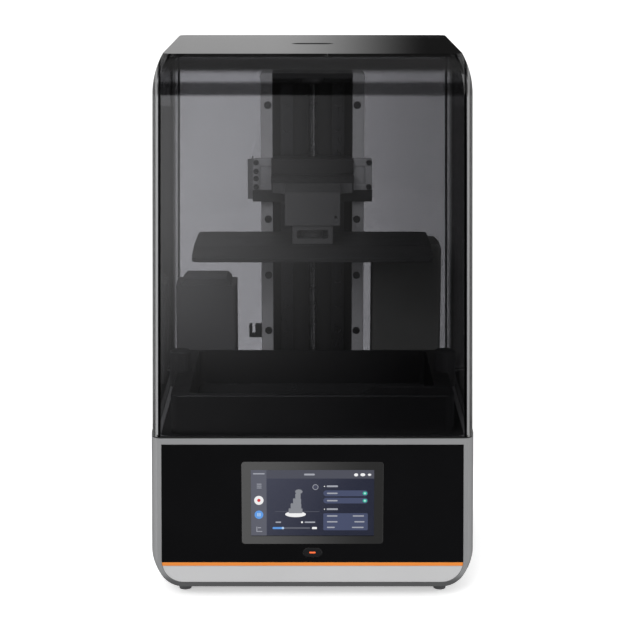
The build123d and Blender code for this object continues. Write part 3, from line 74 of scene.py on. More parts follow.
class Graph:
    """A material's or world's node tree, with short calls that add and join nodes."""

    def __init__(self, tree, keep=False):
        self.tree = tree
        if not keep:
            tree.nodes.clear()

    def add(self, kind, inputs=None, **settings):
        node = self.tree.nodes.new(kind)
        for key, value in settings.items():
            setattr(node, key, value)
        for key, value in (inputs or {}).items():
            if isinstance(value, bpy.types.NodeSocket):
                self.tree.links.new(value, node.inputs[key])
            else:
                node.inputs[key].default_value = value
        return node

    def math(self, operation, a, b=0.0, c=0.0, clamp=False):
        node = self.add("ShaderNodeMath", {0: a, 1: b, 2: c}, operation=operation)
        node.use_clamp = clamp
        return node.outputs[0]

    def fit(self, value, low, high, to_low, to_high, smooth=False):
        kind = "SMOOTHSTEP" if smooth else "LINEAR"
        inputs = {0: value, 1: low, 2: high, 3: to_low, 4: to_high}
        return self.add("ShaderNodeMapRange", inputs, interpolation_type=kind).outputs[0]

    def mix(self, factor, a, b):
        node = self.add("ShaderNodeMix", data_type="RGBA")
        for index, value in ((0, factor), (6, a), (7, b)):
            if isinstance(value, bpy.types.NodeSocket):
                self.tree.links.new(value, node.inputs[index])
            else:
                node.inputs[index].default_value = value
        return node.outputs[2]

    def place(self, scale=(1, 1, 1), turn=(0, 0, 0)):
        spot = self.add("ShaderNodeTexCoord").outputs["Object"]
        return self.add("ShaderNodeMapping", {"Vector": spot, "Scale": scale, "Rotation": turn}).outputs[0]

    def noise(self, where, scale, detail=3.0, rough=0.55):
        inputs = {"Vector": where, "Scale": scale, "Detail": detail, "Roughness": rough}
        return self.add("ShaderNodeTexNoise", inputs).outputs[0]

    def out(self, shader, kind="ShaderNodeOutputMaterial"):
        self.add(kind, {"Surface": shader})


def two_tone(material, dark, share):
    """Darkens a finished material to the share dark of its colour, where share(g, x, y, z) is 1."""
    tree = material.node_tree
    g = Graph(tree, keep=True)
    surface = next(n for n in tree.nodes if n.type == "BSDF_PRINCIPLED")
    base = surface.inputs["Base Color"].links[0].from_socket
    spot = g.add("ShaderNodeSeparateXYZ", {0: g.add("ShaderNodeTexCoord").outputs["Object"]})
    mask = share(g, spot.outputs["X"], spot.outputs["Y"], spot.outputs["Z"])
    darker = g.add("ShaderNodeMix", data_type="RGBA", blend_type="MULTIPLY")
    tree.links.new(mask, darker.inputs[0])
    tree.links.new(base, darker.inputs[6])
    darker.inputs[7].default_value = (dark, dark, dark, 1)
    tree.links.new(darker.outputs[2], surface.inputs["Base Color"])
    return material


def grey(value, alpha=1.0):
    return (value, value, value, alpha)


def shade(colour, factor):
    return tuple(channel * factor for channel in colour[:3]) + (1.0,)


def finish(name, colour, rough, metal=0.0, vary=0.08, rough_vary=0.06, patch=9.0, grain=900.0,
           bump=0.00002, grain_scale=(1, 1, 1), coat=0.0, coat_rough=0.05, wear=0.0, wear_radius=0.0006,
           edge=0.0004, specular=0.5, glow=0.0, aniso=0.0):
    """A procedural surface: broad colour drift, fine grain in bump and roughness, softened and worn edges."""
    material = bpy.data.materials.new(name)
    material.use_nodes = True
    g = Graph(material.node_tree)
    where = g.place()
    stretched = g.place(scale=grain_scale)
    broad = g.noise(where, patch, 4.0)
    fine = g.noise(stretched, grain, 2.0, 0.6)
    drift = g.fit(broad, 0.3, 0.7, 0.0, 1.0)
    base = g.mix(drift, shade(colour, 1 - vary), shade(colour, 1 + vary))
    speck = g.fit(fine, 0.25, 0.75, 0.0, 1.0)
    base = g.mix(g.math("MULTIPLY", speck, 0.35), base, shade(colour, 1 - 1.5 * vary))
    smudge = g.noise(where, patch * 3.1, 5.0, 0.65)
    roughness = g.fit(smudge, 0.3, 0.7, rough - rough_vary, rough + rough_vary)
    roughness = g.math("ADD", roughness, g.math("MULTIPLY", speck, 0.05), clamp=True)
    normal = g.add("ShaderNodeBevel", {"Radius": edge}, samples=4).outputs[0]
    if wear:
        round_normal = g.add("ShaderNodeBevel", {"Radius": wear_radius}, samples=4).outputs[0]
        true_normal = g.add("ShaderNodeNewGeometry").outputs["Normal"]
        turn = g.add("ShaderNodeVectorMath", {0: round_normal, 1: true_normal}, operation="DOT_PRODUCT")
        rim = g.fit(turn.outputs["Value"], 0.995, 0.8, 0.0, 1.0)
        rubbed = g.math("MULTIPLY", rim, g.fit(smudge, 0.35, 0.65, 0.3, 1.0))
        base = g.mix(g.math("MULTIPLY", rubbed, wear), base, shade(colour, 1.9))
    height = g.math("ADD", g.math("MULTIPLY", fine, 1.0), g.math("MULTIPLY", smudge, 0.5))
    relief = g.add("ShaderNodeBump", {"Height": height, "Strength": 0.6, "Distance": bump, "Normal": normal})
    inputs = {"Base Color": base, "Roughness": roughness, "Normal": relief.outputs[0]}
    surface = g.add("ShaderNodeBsdfPrincipled", inputs)
    surface.inputs["Metallic"].default_value = metal
    surface.inputs["Specular IOR Level"].default_value = specular
    surface.inputs["Coat Weight"].default_value = coat
    surface.inputs["Coat Roughness"].default_value = coat_rough
    surface.inputs["Anisotropic"].default_value = aniso
    if glow:
        surface.inputs["Emission Color"].default_value = shade(colour, 1.0)
        surface.inputs["Emission Strength"].default_value = glow
    g.out(surface.outputs[0])
    return material


HOOD_TINT = 0.66
BEND_HEIGHT = 0.4605  # of the painted shade band where the front bends into the top
TOP_FRONT_BAND = 0.4790  # of the painted shade band along the top's front edge
WALL_TOP = 0.455  # up to which the side walls lean in
WALL_LEAN = 0.005
CORNER_LINE = 0.0066  # of the painted shade line down each upright edge, in from the hood's side
CORNER_GLINT = 0.0038  # of the painted highlight line outside it


def smoked(name, tint, gloss_rough, ior=1.49):
    """Smoked clear plastic: a tint that deepens seen edge on, with painted shade where the walls bend, along
    the top's front edge and towards the right, and a painted shade line and a painted highlight line down
    each upright edge.
    """
    material = bpy.data.materials.new(name)
    material.use_nodes = True
    g = Graph(material.node_tree)
    where = g.place()
    spot = g.add("ShaderNodeSeparateXYZ", {0: where})
    facing = g.add("ShaderNodeLayerWeight", {"Blend": 0.5}).outputs["Facing"]
    edge_on = g.math("POWER", facing, 4.0)
    cloud = g.noise(where, 5.0, 2.0)
    # painted shade: a dark band in the tint where the front bends into the top, standing in for the curved
    # wall's refraction
    bend = g.math("ABSOLUTE", g.math("SUBTRACT", spot.outputs["Z"], BEND_HEIGHT))
    painted_shade_bend = g.fit(bend, 0.0035, 0.0075, 1.0, 0.0, smooth=True)
    low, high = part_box("hood")
    side_at = g.fit(spot.outputs["Z"], low.z, WALL_TOP, high.x, high.x - WALL_LEAN)
    inward = g.math("SUBTRACT", side_at, g.math("ABSOLUTE", spot.outputs["X"]))
    # painted shade: a dark line down each upright edge, standing in for the rounded corner's refraction
    off_line = g.math("ABSOLUTE", g.math("SUBTRACT", inward, CORNER_LINE))
    painted_shade_corner_line = g.fit(off_line, 0.0006, 0.0016, 1.0, 0.0, smooth=True)
    # painted highlight: a light line just outside the painted shade line on each upright edge
    off_glint = g.math("ABSOLUTE", g.math("SUBTRACT", inward, CORNER_GLINT))
    painted_highlight_line = g.fit(off_glint, 0.0004, 0.0014, 0.45, 0.0, smooth=True)
    # painted shade: a dark band in the tint along the top's front edge
    rim = g.fit(spot.outputs["Z"], TOP_FRONT_BAND - 0.007, TOP_FRONT_BAND, 0.0, 1.0, smooth=True)
    painted_shade_band = g.math("MAXIMUM", g.math("MULTIPLY", painted_shade_bend, 0.62), g.math("MULTIPLY", rim, 0.72))
    painted_shade_band = g.math("MAXIMUM", painted_shade_band, g.math("MULTIPLY", painted_shade_corner_line, 0.9))
    # painted shade: the tint darkens towards the right, away from the light
    painted_shade_rightward = g.fit(spot.outputs["X"], -0.03, 0.13, 0.0, 0.14, smooth=True)
    body = g.mix(g.fit(cloud, 0.3, 0.7, 0, 1), shade(tint, 0.985), shade(tint, 1.015))
    body = g.mix(painted_shade_rightward, body, grey(0.0))
    body = g.mix(painted_shade_band, body, shade(tint, 0.12))
    colour = g.mix(edge_on, body, shade(tint, 0.02))
    clear = g.add("ShaderNodeBsdfTransparent", {"Color": colour})
    haze = g.noise(where, 40.0, 4.0, 0.6)
    rough = g.fit(haze, 0.3, 0.7, gloss_rough * 0.7, gloss_rough * 1.3)
    ripple = g.noise(g.place(scale=(1, 1, 0.3)), 9.0, 1.0)
    normal = g.add("ShaderNodeBump", {"Height": ripple, "Strength": 0.15, "Distance": 0.0001})
    polish = {"Color": grey(1.0), "Roughness": rough, "Normal": normal.outputs[0]}
    gloss = g.add("ShaderNodeBsdfGlossy", polish)
    share = g.add("ShaderNodeFresnel", {"IOR": ior, "Normal": normal.outputs[0]}).outputs[0]
    # the painted shade line also takes the gloss off down each upright edge
    share = g.math("MULTIPLY", share, g.math("SUBTRACT", 1.0, g.math("MULTIPLY", painted_shade_corner_line, 0.9)))
    mixed = g.add("ShaderNodeMixShader", {0: share, 1: clear.outputs[0], 2: gloss.outputs[0]})
    # painted highlight: a light grey diffuse surface mixed in along that line
    painted_highlight_grey = g.add("ShaderNodeBsdfDiffuse", {"Color": grey(0.40)})
    with_painted_lines = g.add("ShaderNodeMixShader", {0: painted_highlight_line, 1: mixed.outputs[0], 2: painted_highlight_grey.outputs[0]})
    g.out(with_painted_lines.outputs[0])
    return material


def display_cover(name):
    """Cover glass: printed bezel round a clear window over the display, with a painted reflection that
    lightens the bezel towards the left.
    """
    material = bpy.data.materials.new(name)
    material.use_nodes = True
    g = Graph(material.node_tree)
    low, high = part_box("display_module")
    middle = (low + high) / 2
    spot = g.add("ShaderNodeSeparateXYZ", {0: g.place()})
    across = g.math("ABSOLUTE", g.math("SUBTRACT", spot.outputs["X"], middle.x))
    up = g.math("ABSOLUTE", g.math("SUBTRACT", spot.outputs["Z"], middle.z))
    inside_x = g.math("LESS_THAN", across, (high.x - low.x) / 2 - DISPLAY_FRAME)
    inside_z = g.math("LESS_THAN", up, (high.z - low.z) / 2 - DISPLAY_FRAME)
    window = g.math("MULTIPLY", inside_x, inside_z)
    fine = g.noise(g.place(), 700.0, 2.0)
    # painted reflection: the bezel is lighter on the left, where it mirrors the light from that side
    painted_reflection_left = g.fit(spot.outputs["X"], low.x, high.x, 1.0, 0.0, smooth=True)
    bezel = g.mix(painted_reflection_left, grey(0.022), grey(0.085))
    bezel = g.mix(g.math("MULTIPLY", fine, 0.15), bezel, grey(0.03))
    rough = g.fit(g.noise(g.place(), 30.0, 4.0), 0.3, 0.7, 0.10, 0.18)
    print_and_painted_reflection = g.add("ShaderNodeBsdfPrincipled", {"Base Color": bezel, "Roughness": rough})
    print_and_painted_reflection.inputs["Coat Weight"].default_value = 0.3
    clear = g.add("ShaderNodeBsdfTransparent", {"Color": grey(0.97)})
    gloss = g.add("ShaderNodeBsdfGlossy", {"Color": grey(1.0), "Roughness": rough})
    share = g.add("ShaderNodeFresnel", {"IOR": 1.3}).outputs[0]
    glass = g.add("ShaderNodeMixShader", {0: share, 1: clear.outputs[0], 2: gloss.outputs[0]})
    both = g.add("ShaderNodeMixShader", {0: window, 1: print_and_painted_reflection.outputs[0], 2: glass.outputs[0]})
    g.out(both.outputs[0])
    return material


def lit(name, colour, strength, away=None):
    """A lit area of the display, with the panel's fine grid. It drifts to the colour away, left to right."""
    material = bpy.data.materials.new(name)
    material.use_nodes = True
    g = Graph(material.node_tree)
    wave = {"Vector": g.place(), "Scale": 1500.0}
    rows = g.add("ShaderNodeTexWave", wave, bands_direction="Z", wave_type="BANDS")
    grid = g.fit(rows.outputs["Fac"], 0.0, 1.0, 0.94, 1.0)
    haze = g.fit(g.noise(g.place(), 25.0, 2.0), 0.3, 0.7, 0.97, 1.03)
    surface = g.add("ShaderNodeBsdfPrincipled", {"Base Color": grey(0.004), "Roughness": 0.4})
    if away:
        low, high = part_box("display_module")
        spot = g.add("ShaderNodeSeparateXYZ", {0: g.place()})
        drop = g.math("MULTIPLY", g.math("SUBTRACT", high.z, spot.outputs["Z"]), 0.6)
        across = g.math("ADD", spot.outputs["X"], drop)
        drift = g.fit(across, low.x + 0.015, high.x + 0.010, 0.0, 1.0, smooth=True)
        g.tree.links.new(g.mix(drift, shade(colour, 1.0), shade(away, 1.0)), surface.inputs["Emission Color"])
    else:
        surface.inputs["Emission Color"].default_value = shade(colour, 1.0)
    power = g.math("MULTIPLY", g.math("MULTIPLY", grid, haze), strength)
    g.tree.links.new(power, surface.inputs["Emission Strength"])
    g.out(surface.outputs[0])
    return material


# ---------------------------------------------------------------- finishes by record slot

finishes = {
    "shell_silver": finish(
        "shell_silver", (0.30, 0.302, 0.308), 0.38, metal=0.25, vary=0.03, grain=2200, bump=0.00001,
    ),
    "sheet_grey": finish("sheet_grey", (0.33, 0.33, 0.34), 0.42, metal=0.8, vary=0.05, grain=1500),
    "foot_rubber": finish(
        "foot_rubber", (0.10, 0.10, 0.105), 0.75, vary=0.15, grain=1600, bump=0.00006, specular=0.3,
    ),
    "panel_black": finish(
        "panel_black", (0.0035, 0.0035, 0.004), 0.12, vary=0.2, rough_vary=0.03, coat=0.2, bump=0.000004,
    ),
    "stripe_orange": finish("stripe_orange", (0.76, 0.24, 0.04), 0.35, vary=0.05, bump=0.00001),
    "trim_light": finish(
        "trim_light", (0.54, 0.54, 0.545), 0.45, metal=0.1, vary=0.03, grain=2200, bump=0.00001,
    ),
    "display_panel": lit("display_panel", (0.058, 0.062, 0.092), 1.0, away=(0.021, 0.024, 0.044)),
    "button_black": finish("button_black", (0.012, 0.012, 0.013), 0.22, vary=0.2),
    "deck_dark": finish("deck_dark", (0.018, 0.018, 0.019), 0.5, metal=0.2, grain=1400),
    "screen_glass": finish(
        "screen_glass", (0.012, 0.013, 0.016), 0.08, rough_vary=0.03, coat=0.5, bump=0.000003,
    ),
    "vat_dark": finish("vat_dark", (0.016, 0.016, 0.017), 0.42, metal=0.3, grain=1500, wear=0.6),
    "film_clear": finish("film_clear", (0.045, 0.046, 0.048), 0.2, vary=0.05, specular=0.2),
    "steel_plain": finish(
        "steel_plain", (0.42, 0.42, 0.41), 0.32, metal=1.0, grain=1200, grain_scale=(1, 0.08, 1),
    ),
    "knob_dark": finish(
        "knob_dark", (0.022, 0.022, 0.023), 0.5, vary=0.15, grain=1500, bump=0.00004, wear=0.3,
    ),
    "tower_alloy": finish(
        "tower_alloy", (0.52, 0.52, 0.53), 0.42, metal=0.35, grain=1300, grain_scale=(1, 1, 0.04), wear=0.2,
    ),
    "screw_steel": finish("screw_steel", (0.16, 0.16, 0.165), 0.33, metal=1.0, vary=0.12, grain=2500),
    "rail_steel": finish(
        "rail_steel", (0.10, 0.10, 0.105), 0.28, metal=0.9, grain=1200, grain_scale=(1, 1, 0.03),
    ),
    "motor_steel": finish("motor_steel", (0.10, 0.10, 0.10), 0.4, metal=0.8, grain=900),
    "alloy_plain": finish(
        "alloy_plain", (0.45, 0.45, 0.46), 0.35, metal=1.0, grain=1200, grain_scale=(0.06, 1, 1),
    ),
    "carriage_dark": finish("carriage_dark", (0.40, 0.40, 0.41), 0.42, metal=0.4, grain=1500, wear=0.2),
    "nut_brass": finish("nut_brass", (0.45, 0.32, 0.14), 0.3, metal=1.0),
    "plastic_dark": finish(
        "plastic_dark", (0.020, 0.020, 0.021), 0.48, vary=0.15, grain=1400, bump=0.00004,
    ),
    "arm_alloy": finish("arm_alloy", (0.12, 0.12, 0.122), 0.46, metal=0.4, grain=1700, wear=0.5),
    "plate_alloy": finish(
        "plate_alloy", (0.045, 0.045, 0.046), 0.48, metal=0.4, grain=2200, bump=0.00005, wear=0.9,
    ),
    "seal_rubber": finish("seal_rubber", (0.012, 0.012, 0.012), 0.7, vary=0.2),
    "module_dark": finish(
        "module_dark", (0.085, 0.085, 0.088), 0.5, vary=0.12, grain=1300, bump=0.00004, wear=0.4,
    ),
    "filter_black": finish(
        "filter_black", (0.010, 0.010, 0.010), 0.9, vary=0.4, grain=420, bump=0.0003, specular=0.1,
    ),
    "fan_plastic": finish(
        "fan_plastic", (0.017, 0.017, 0.018), 0.45, vary=0.15, grain=1300, bump=0.00003,
    ),
    "bottle_dark": finish(
        "bottle_dark", (0.095, 0.096, 0.092), 0.34, vary=0.1, grain=900, bump=0.00002, wear=0.3,
    ),
    "lens_clear": finish("lens_clear", (0.30, 0.32, 0.34), 0.12),
    "board_green": finish("board_green", (0.012, 0.09, 0.035), 0.4, vary=0.2, grain=260, bump=0.00005),
    "rocker_black": finish("rocker_black", (0.012, 0.012, 0.012), 0.3, vary=0.2),
    "status_red": finish("status_red", (0.80, 0.12, 0.03), 0.35, glow=0.6),
    "hood_smoke": smoked("hood_smoke", (HOOD_TINT, HOOD_TINT, HOOD_TINT * 1.02), 0.05),
    "touch_glass": display_cover("touch_glass"),
}
for node in nodes.values():
    for place in node.material_slots:
        place.material = finishes[place.material.name.split(".")[0]]


FLANGE_WIDTH = 11.5 * MM  # of the column, each side
SHELF_HALF = 39.5 * MM  # of the carriage, half its width
FOOT_BAR = 11 * MM  # height of the bar below the carriage's ears
SKIN = 0.1 * MM  # puts a mask's edge just past the face that it follows


def column_inside(g, x, y, z):
    """The column's recess, between its two front flanges."""
    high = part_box("column")[1]
    recess = high.x - FLANGE_WIDTH
    return g.math("LESS_THAN", g.math("ABSOLUTE", x), recess + SKIN)


def carriage_core(g, x, y, z):
    """All of the carriage plate but its two ears, above the foot bar."""
    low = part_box("carriage_plate")[0]
    between = g.math("LESS_THAN", g.math("ABSOLUTE", x), SHELF_HALF + SKIN)
    below = g.math("LESS_THAN", z, low.z + FOOT_BAR + SKIN)
    return g.math("MAXIMUM", between, below)


def painted_shade_lower_rim(g, x, y, z):
    """The rounded bottom rim of the base, with painted shade where it turns away from the light."""
    return g.fit(z, 0.026, 0.015, 0.0, 1.0, smooth=True)


# painted shade: the base's bottom rim darkened by height
two_tone(finishes["shell_silver"], 0.35, painted_shade_lower_rim)
two_tone(finishes["tower_alloy"], 0.06, column_inside)
two_tone(finishes["carriage_dark"], 0.10, carriage_core)


# ---------------------------------------------------------------- stage, light

WHITE_FLOOR = 0.92
FLOOR_HALF = 40.0
FLOOR_GLOW = 0.45

floor_mesh = bpy.data.meshes.new("floor")
corners = [(x * FLOOR_HALF, y * FLOOR_HALF, 0) for x, y in ((-1, -1), (1, -1), (1, 1), (-1, 1))]
floor_mesh.from_pydata(corners, [], [(0, 1, 2, 3)])
floor = bpy.data.objects.new("floor", floor_mesh)
scene.collection.objects.link(floor)
floor_mesh.materials.append(
    finish("floor_pale", grey(WHITE_FLOOR), 0.9, vary=0.004, bump=0.0, specular=0.0, glow=FLOOR_GLOW)
)
floor.visible_glossy = False
floor.visible_diffuse = False

world = bpy.data.worlds.new("studio")
world.use_nodes = True
scene.world = world
w = Graph(world.node_tree)
ray = w.add("ShaderNodeLightPath")
direction = w.add("ShaderNodeTexCoord").outputs["Generated"]
split = w.add("ShaderNodeSeparateXYZ", {0: direction})
side = w.math("ABSOLUTE", split.outputs["X"])
bright_side = w.fit(side, 0.40, 0.80, 0.0, 1.0, smooth=True)
up_from = w.fit(split.outputs["Z"], 0.38, 0.50, 0.0, 1.0, smooth=True)
up_to = w.fit(split.outputs["Z"], 0.66, 0.80, 1.0, 0.0, smooth=True)
front = w.math("LESS_THAN", split.outputs["Y"], -0.1)
strip = w.math("MULTIPLY", w.math("MULTIPLY", up_from, up_to), front)
reflected = w.mix(bright_side, grey(0.04), grey(0.95))
reflected = w.mix(strip, reflected, grey(0.45))
lower = w.fit(split.outputs["Z"], -0.25, 0.15, 0.30, 0.78, smooth=True)
plain = w.mix(ray.outputs["Is Glossy Ray"], lower, reflected)
sky = w.mix(ray.outputs["Is Camera Ray"], plain, grey(1.0))
background = w.add("ShaderNodeBackground", {"Color": sky, "Strength": 1.0})
w.out(background.outputs[0], "ShaderNodeOutputWorld")


no_hood_shadow = bpy.data.collections.new("no_hood_shadow")
no_hood_shadow.objects.link(nodes["hood"])
no_hood_shadow.collection_objects[0].light_linking.link_state = "EXCLUDE"


def softbox(name, spot, target, size, energy, glossy=True):
    light = bpy.data.lights.new(name, "AREA")
    light.shape = "RECTANGLE"
    light.size = size[0]
    light.size_y = size[1]
    light.energy = energy
    lamp = bpy.data.objects.new(name, light)
    scene.collection.objects.link(lamp)
    lamp.location = spot
    lamp.rotation_euler = (Vector(target) - Vector(spot)).to_track_quat("-Z", "Y").to_euler()
    lamp.visible_glossy = glossy
    lamp.visible_camera = False
    lamp.light_linking.blocker_collection = no_hood_shadow
    return lamp


softbox("key", (-0.8, -2.4, 1.5), (0, 0, 0.3), (1.4, 1.4), 46, glossy=False)
softbox("fill", (1.2, -2.2, 0.9), (0, 0, 0.3), (1.4, 1.4), 12)
softbox("top", (-0.2, 0.1, 1.8), (0, 0, 0.3), (0.8, 0.8), 6)


def card(name, y, across, up, bright, dark, start, end, power, fade=None):
    """A reflector seen only in gloss: its light falls from bright to dark between start and end along X.

    fade = (low, high, share) lowers it to that share of itself from the height high down to low.
    """
    mesh = bpy.data.meshes.new(name)
    corners = [(across[0], y, up[0]), (across[1], y, up[0]), (across[1], y, up[1]), (across[0], y, up[1])]
    mesh.from_pydata(corners, [], [(0, 1, 2, 3)])
    board = bpy.data.objects.new(name, mesh)
    scene.collection.objects.link(board)
    material = bpy.data.materials.new(name)
    material.use_nodes = True
    g = Graph(material.node_tree)
    place = g.add("ShaderNodeTexCoord").outputs["Object"]
    spot = g.add("ShaderNodeSeparateXYZ", {0: place})
    level = g.fit(spot.outputs["X"], start, end, bright, dark, smooth=True)
    if fade:
        low, high, share = fade
        level = g.math("MULTIPLY", level, g.fit(spot.outputs["Z"], low, high, share, 1.0, smooth=True))
    strength = g.math("MULTIPLY", level, power)
    g.out(g.add("ShaderNodeEmission", {"Color": grey(1.0), "Strength": strength}).outputs[0])
    mesh.materials.append(material)
    board.visible_camera = False
    board.visible_diffuse = False
    board.visible_shadow = False
    board.visible_transmission = False
    board.visible_volume_scatter = False
    return board


card("front_card", y=-0.75, across=(-0.8, 0.5), up=(0.002, 0.43), bright=1.0, dark=0.02,
     start=-0.24, end=0.13, power=1.3, fade=(0.03, 0.27, 0.12))
card("back_card", y=0.75, across=(-1.0, 0.8), up=(0.35, 0.95), bright=1.0, dark=0.03,
     start=-0.06, end=0.155, power=0.46)


# ---------------------------------------------------------------- new pieces

def piece(name, mesh, body, material, stands_for=()):
    obj = bpy.data.objects.new(name, mesh)
    scene.collection.objects.link(obj)
    obj.data.materials.append(material)
    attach(obj, body)
    if stands_for:
        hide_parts(*stands_for)
    return obj


# the lead screw, with its four-start thread

THREAD_PITCH = 2 * MM
THREAD_LEAD = 8 * MM
THREAD_DEPTH = 0.9 * MM
THREAD_ROOT = 0.14  # half the root's width, as a share of the pitch
THREAD_FLANK = 0.16  # a flank's width, likewise
THREAD_SIDES = 32
THREAD_RINGS_PER_PITCH = 8


def threaded_rod(name, low, high, end_chamfer):
    """A rod with a trapezoidal thread between its two ends, about the middle of the box low to high."""
    centre = (low + high) / 2
    radius = (high.x - low.x) / 2
    step = THREAD_PITCH / THREAD_RINGS_PER_PITCH
    rings = int((high.z - low.z) / step)
    mesh = bpy.data.meshes.new(name)
    verts, faces = [], []
    for k in range(rings + 1):
        z = low.z + (high.z - low.z) * k / rings
        to_end = min(z - low.z, high.z - z)
        limit = radius - max(0.0, end_chamfer - to_end)
        for s in range(THREAD_SIDES):
            angle = 2 * math.pi * s / THREAD_SIDES
            phase = ((z - low.z) - THREAD_LEAD * s / THREAD_SIDES) / THREAD_PITCH % 1.0
            crest = min(1.0, max(0.0, (abs(phase - 0.5) - THREAD_ROOT) / THREAD_FLANK))
            r = min(radius - THREAD_DEPTH * (1 - crest), limit)
            verts.append((centre.x + r * math.cos(angle), centre.y + r * math.sin(angle), z))
    for k in range(rings):
        for s in range(THREAD_SIDES):
            a, b = k * THREAD_SIDES + s, k * THREAD_SIDES + (s + 1) % THREAD_SIDES
            faces.append((a, b, b + THREAD_SIDES, a + THREAD_SIDES))
    faces.append(tuple(reversed(range(THREAD_SIDES))))
    top = rings * THREAD_SIDES
    faces.append(tuple(range(top, top + THREAD_SIDES)))
    mesh.from_pydata(verts, [], faces)
    for face in mesh.polygons:
        face.use_smooth = len(face.vertices) == 4
    return mesh


screw_low, screw_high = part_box("lead_screw")
screw_material = finish("screw_thread", (0.36, 0.36, 0.365), 0.26, metal=1.0, grain=1800, edge=0.0001)
piece("lead_screw_thread", threaded_rod("lead_screw_thread", screw_low, screw_high, 0.8 * MM),
      "drive_screw", screw_material, ("lead_screw",))


# what the display shows: plain shapes only, each a thin plaque just in front of the panel

panel_low, panel_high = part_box("display_module")
screen_left = panel_low.x + DISPLAY_FRAME
screen_top = panel_high.z - DISPLAY_FRAME
screen_face = panel_low.y
LAYER = 0.04 * MM
PLAQUE_THICKNESS = 0.8 * LAYER
OVAL_SIDES = 40


def outline(kind, across, down, wide, tall, corner, sides=10):
    """Points round a rounded rectangle or an ellipse, placed in millimetres from the screen's top left."""
    x, z = screen_left + across * MM, screen_top - down * MM
    half_w, half_t = wide * MM / 2, tall * MM / 2
    if kind == "oval":
        turns = [2 * math.pi * k / OVAL_SIDES for k in range(OVAL_SIDES)]
        return [(x + half_w * math.cos(a), z + half_t * math.sin(a)) for a in turns]
    r = min(corner * MM, half_w, half_t)
    points = []
    for sx, sz, start in ((1, 1, 0), (-1, 1, 90), (-1, -1, 180), (1, -1, 270)):
        for k in range(sides + 1):
            a = math.radians(start + 90 * k / sides)
            points.append((x + sx * (half_w - r) + r * math.cos(a), z + sz * (half_t - r) + r * math.sin(a)))
    return points


def plaques(name, layer, colour, strength, shapes):
    """One piece of thin raised shapes of one colour, layer steps in front of the panel."""
    mesh = bpy.data.meshes.new(name)
    bm = bmesh.new()
    back = screen_face - LAYER * layer
    for shape in shapes:
        ring = outline(*shape)
        rear = [bm.verts.new((x, back, z)) for x, z in ring]
        front = [bm.verts.new((x, back - PLAQUE_THICKNESS, z)) for x, z in ring]
        bm.faces.new(front)
        bm.faces.new(list(reversed(rear)))
        for k in range(len(ring)):
            n = (k + 1) % len(ring)
            bm.faces.new((rear[k], rear[n], front[n], front[k]))
    bmesh.ops.recalc_face_normals(bm, faces=bm.faces)
    bm.to_mesh(mesh)
    bm.free()
    return piece(name, mesh, "chassis", lit(name, colour, strength))


plaques("display_bars", 1, (0.125, 0.130, 0.170), 0.62, [
    ("box", 55.25, 4.2, 110.5, 8.4, 0.0),
])
plaques("display_sidebar", 2, (0.125, 0.130, 0.165), 0.92, [
    ("box", 7.0, 31.0, 14.0, 62.0, 0.0),
])
plaques("display_fields", 1, (0.066, 0.080, 0.150), 1.0, [
    ("box", 85.0, 22.2, 40.0, 5.4, 2.7),
    ("box", 85.0, 29.1, 40.0, 5.2, 2.6),
    ("box", 85.0, 49.0, 40.0, 16.0, 1.0),
])
plaques("display_marks_pale", 3, (0.62, 0.64, 0.72), 0.62, [
    ("box", 7.2, 3.9, 10.5, 1.1, 0.5),
    ("box", 52.5, 4.6, 9.5, 1.7, 0.7),
    ("box", 7.4, 13.6, 4.4, 0.7, 0.3),
    ("box", 7.4, 15.4, 4.4, 0.7, 0.3),
    ("box", 7.4, 17.2, 4.4, 0.7, 0.3),
    ("box", 5.1, 56.0, 0.7, 4.8, 0.2),
    ("box", 7.4, 58.1, 5.2, 0.7, 0.2),
    ("box", 7.4, 54.6, 3.0, 0.7, 0.3),
    ("box", 73.0, 15.6, 10.0, 1.6, 0.5),
    ("box", 73.0, 22.2, 9.5, 1.3, 0.5),
    ("box", 73.0, 29.1, 9.5, 1.3, 0.5),
    ("box", 73.0, 37.1, 10.0, 1.6, 0.5),
    ("box", 73.0, 43.5, 9.5, 1.2, 0.5),
    ("box", 73.0, 49.0, 9.5, 1.2, 0.5),
    ("box", 71.8, 54.3, 7.0, 1.2, 0.5),
    ("box", 96.5, 43.5, 10.0, 1.2, 0.5),
    ("box", 97.5, 49.0, 9.0, 1.2, 0.5),
    ("box", 96.0, 54.3, 10.5, 1.2, 0.5),
    ("box", 24.5, 49.4, 5.0, 1.3, 0.5),
    ("box", 53.0, 49.4, 9.5, 1.3, 0.5),
    ("oval", 57.9, 16.4, 5.2, 5.2, 0.0),
])
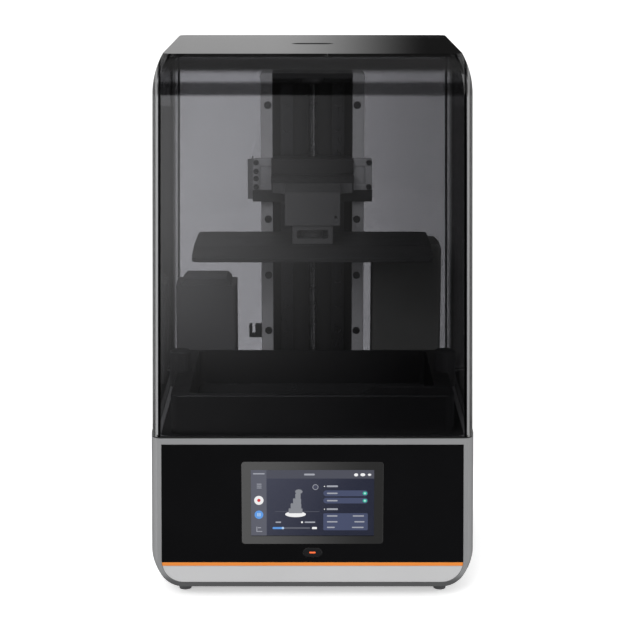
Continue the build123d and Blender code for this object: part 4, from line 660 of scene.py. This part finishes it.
plaques("display_marks_white", 4, (0.95, 0.95, 0.96), 0.98, [
    ("oval", 7.1, 28.8, 8.4, 8.4, 0.0),
    ("oval", 40.0, 41.9, 18.6, 5.4, 0.0),
    ("oval", 94.3, 4.9, 3.6, 2.8, 0.0),
    ("oval", 100.3, 4.8, 4.4, 2.8, 0.0),
    ("oval", 106.3, 4.8, 3.0, 2.0, 0.0),
    ("oval", 66.0, 15.6, 1.0, 1.0, 0.0),
    ("oval", 66.0, 37.1, 1.0, 1.0, 0.0),
    ("box", 57.0, 54.9, 4.4, 2.0, 0.6),
    ("oval", 45.8, 49.4, 1.8, 1.8, 0.0),
])
plaques("display_track", 1, (0.20, 0.21, 0.26), 0.6, [
    ("box", 36.2, 54.9, 34.0, 1.5, 0.75),
    ("box", 41.5, 39.4, 39.7, 0.35, 0.1),
])
plaques("display_blue", 5, (0.13, 0.36, 0.85), 0.95, [
    ("oval", 7.1, 42.3, 7.8, 7.8, 0.0),
    ("box", 24.0, 54.9, 9.4, 1.9, 0.9),
])
plaques("display_pause", 6, (0.55, 0.74, 1.0), 0.9, [
    ("box", 6.2, 42.3, 1.0, 3.2, 0.3),
    ("box", 8.0, 42.3, 1.0, 3.2, 0.3),
    ("oval", 28.6, 54.9, 2.2, 2.2, 0.0),
])
plaques("display_red", 5, (0.75, 0.05, 0.06), 0.9, [
    ("oval", 7.1, 28.8, 3.0, 3.0, 0.0),
])
plaques("display_green", 4, (0.04, 0.48, 0.36), 1.0, [
    ("oval", 102.3, 22.2, 4.0, 3.4, 0.0),
    ("oval", 102.3, 29.1, 4.0, 3.4, 0.0),
])
plaques("display_green_core", 5, (0.55, 0.92, 0.84), 0.95, [
    ("oval", 102.3, 22.2, 1.7, 1.7, 0.0),
    ("oval", 102.3, 29.1, 1.7, 1.7, 0.0),
])
plaques("display_model", 5, (0.27, 0.28, 0.31), 0.95, [
    ("box", 40.0, 38.6, 12.5, 4.6, 0.8),
    ("box", 40.4, 33.9, 9.6, 4.8, 0.8),
    ("box", 41.4, 29.2, 7.2, 4.6, 0.8),
    ("box", 42.2, 24.6, 4.8, 4.6, 0.8),
    ("oval", 43.0, 20.6, 6.6, 4.2, 0.0),
])
plaques("display_dots_dark", 5, (0.066, 0.070, 0.110), 1.0, [
    ("oval", 57.9, 16.4, 4.2, 4.2, 0.0),
])
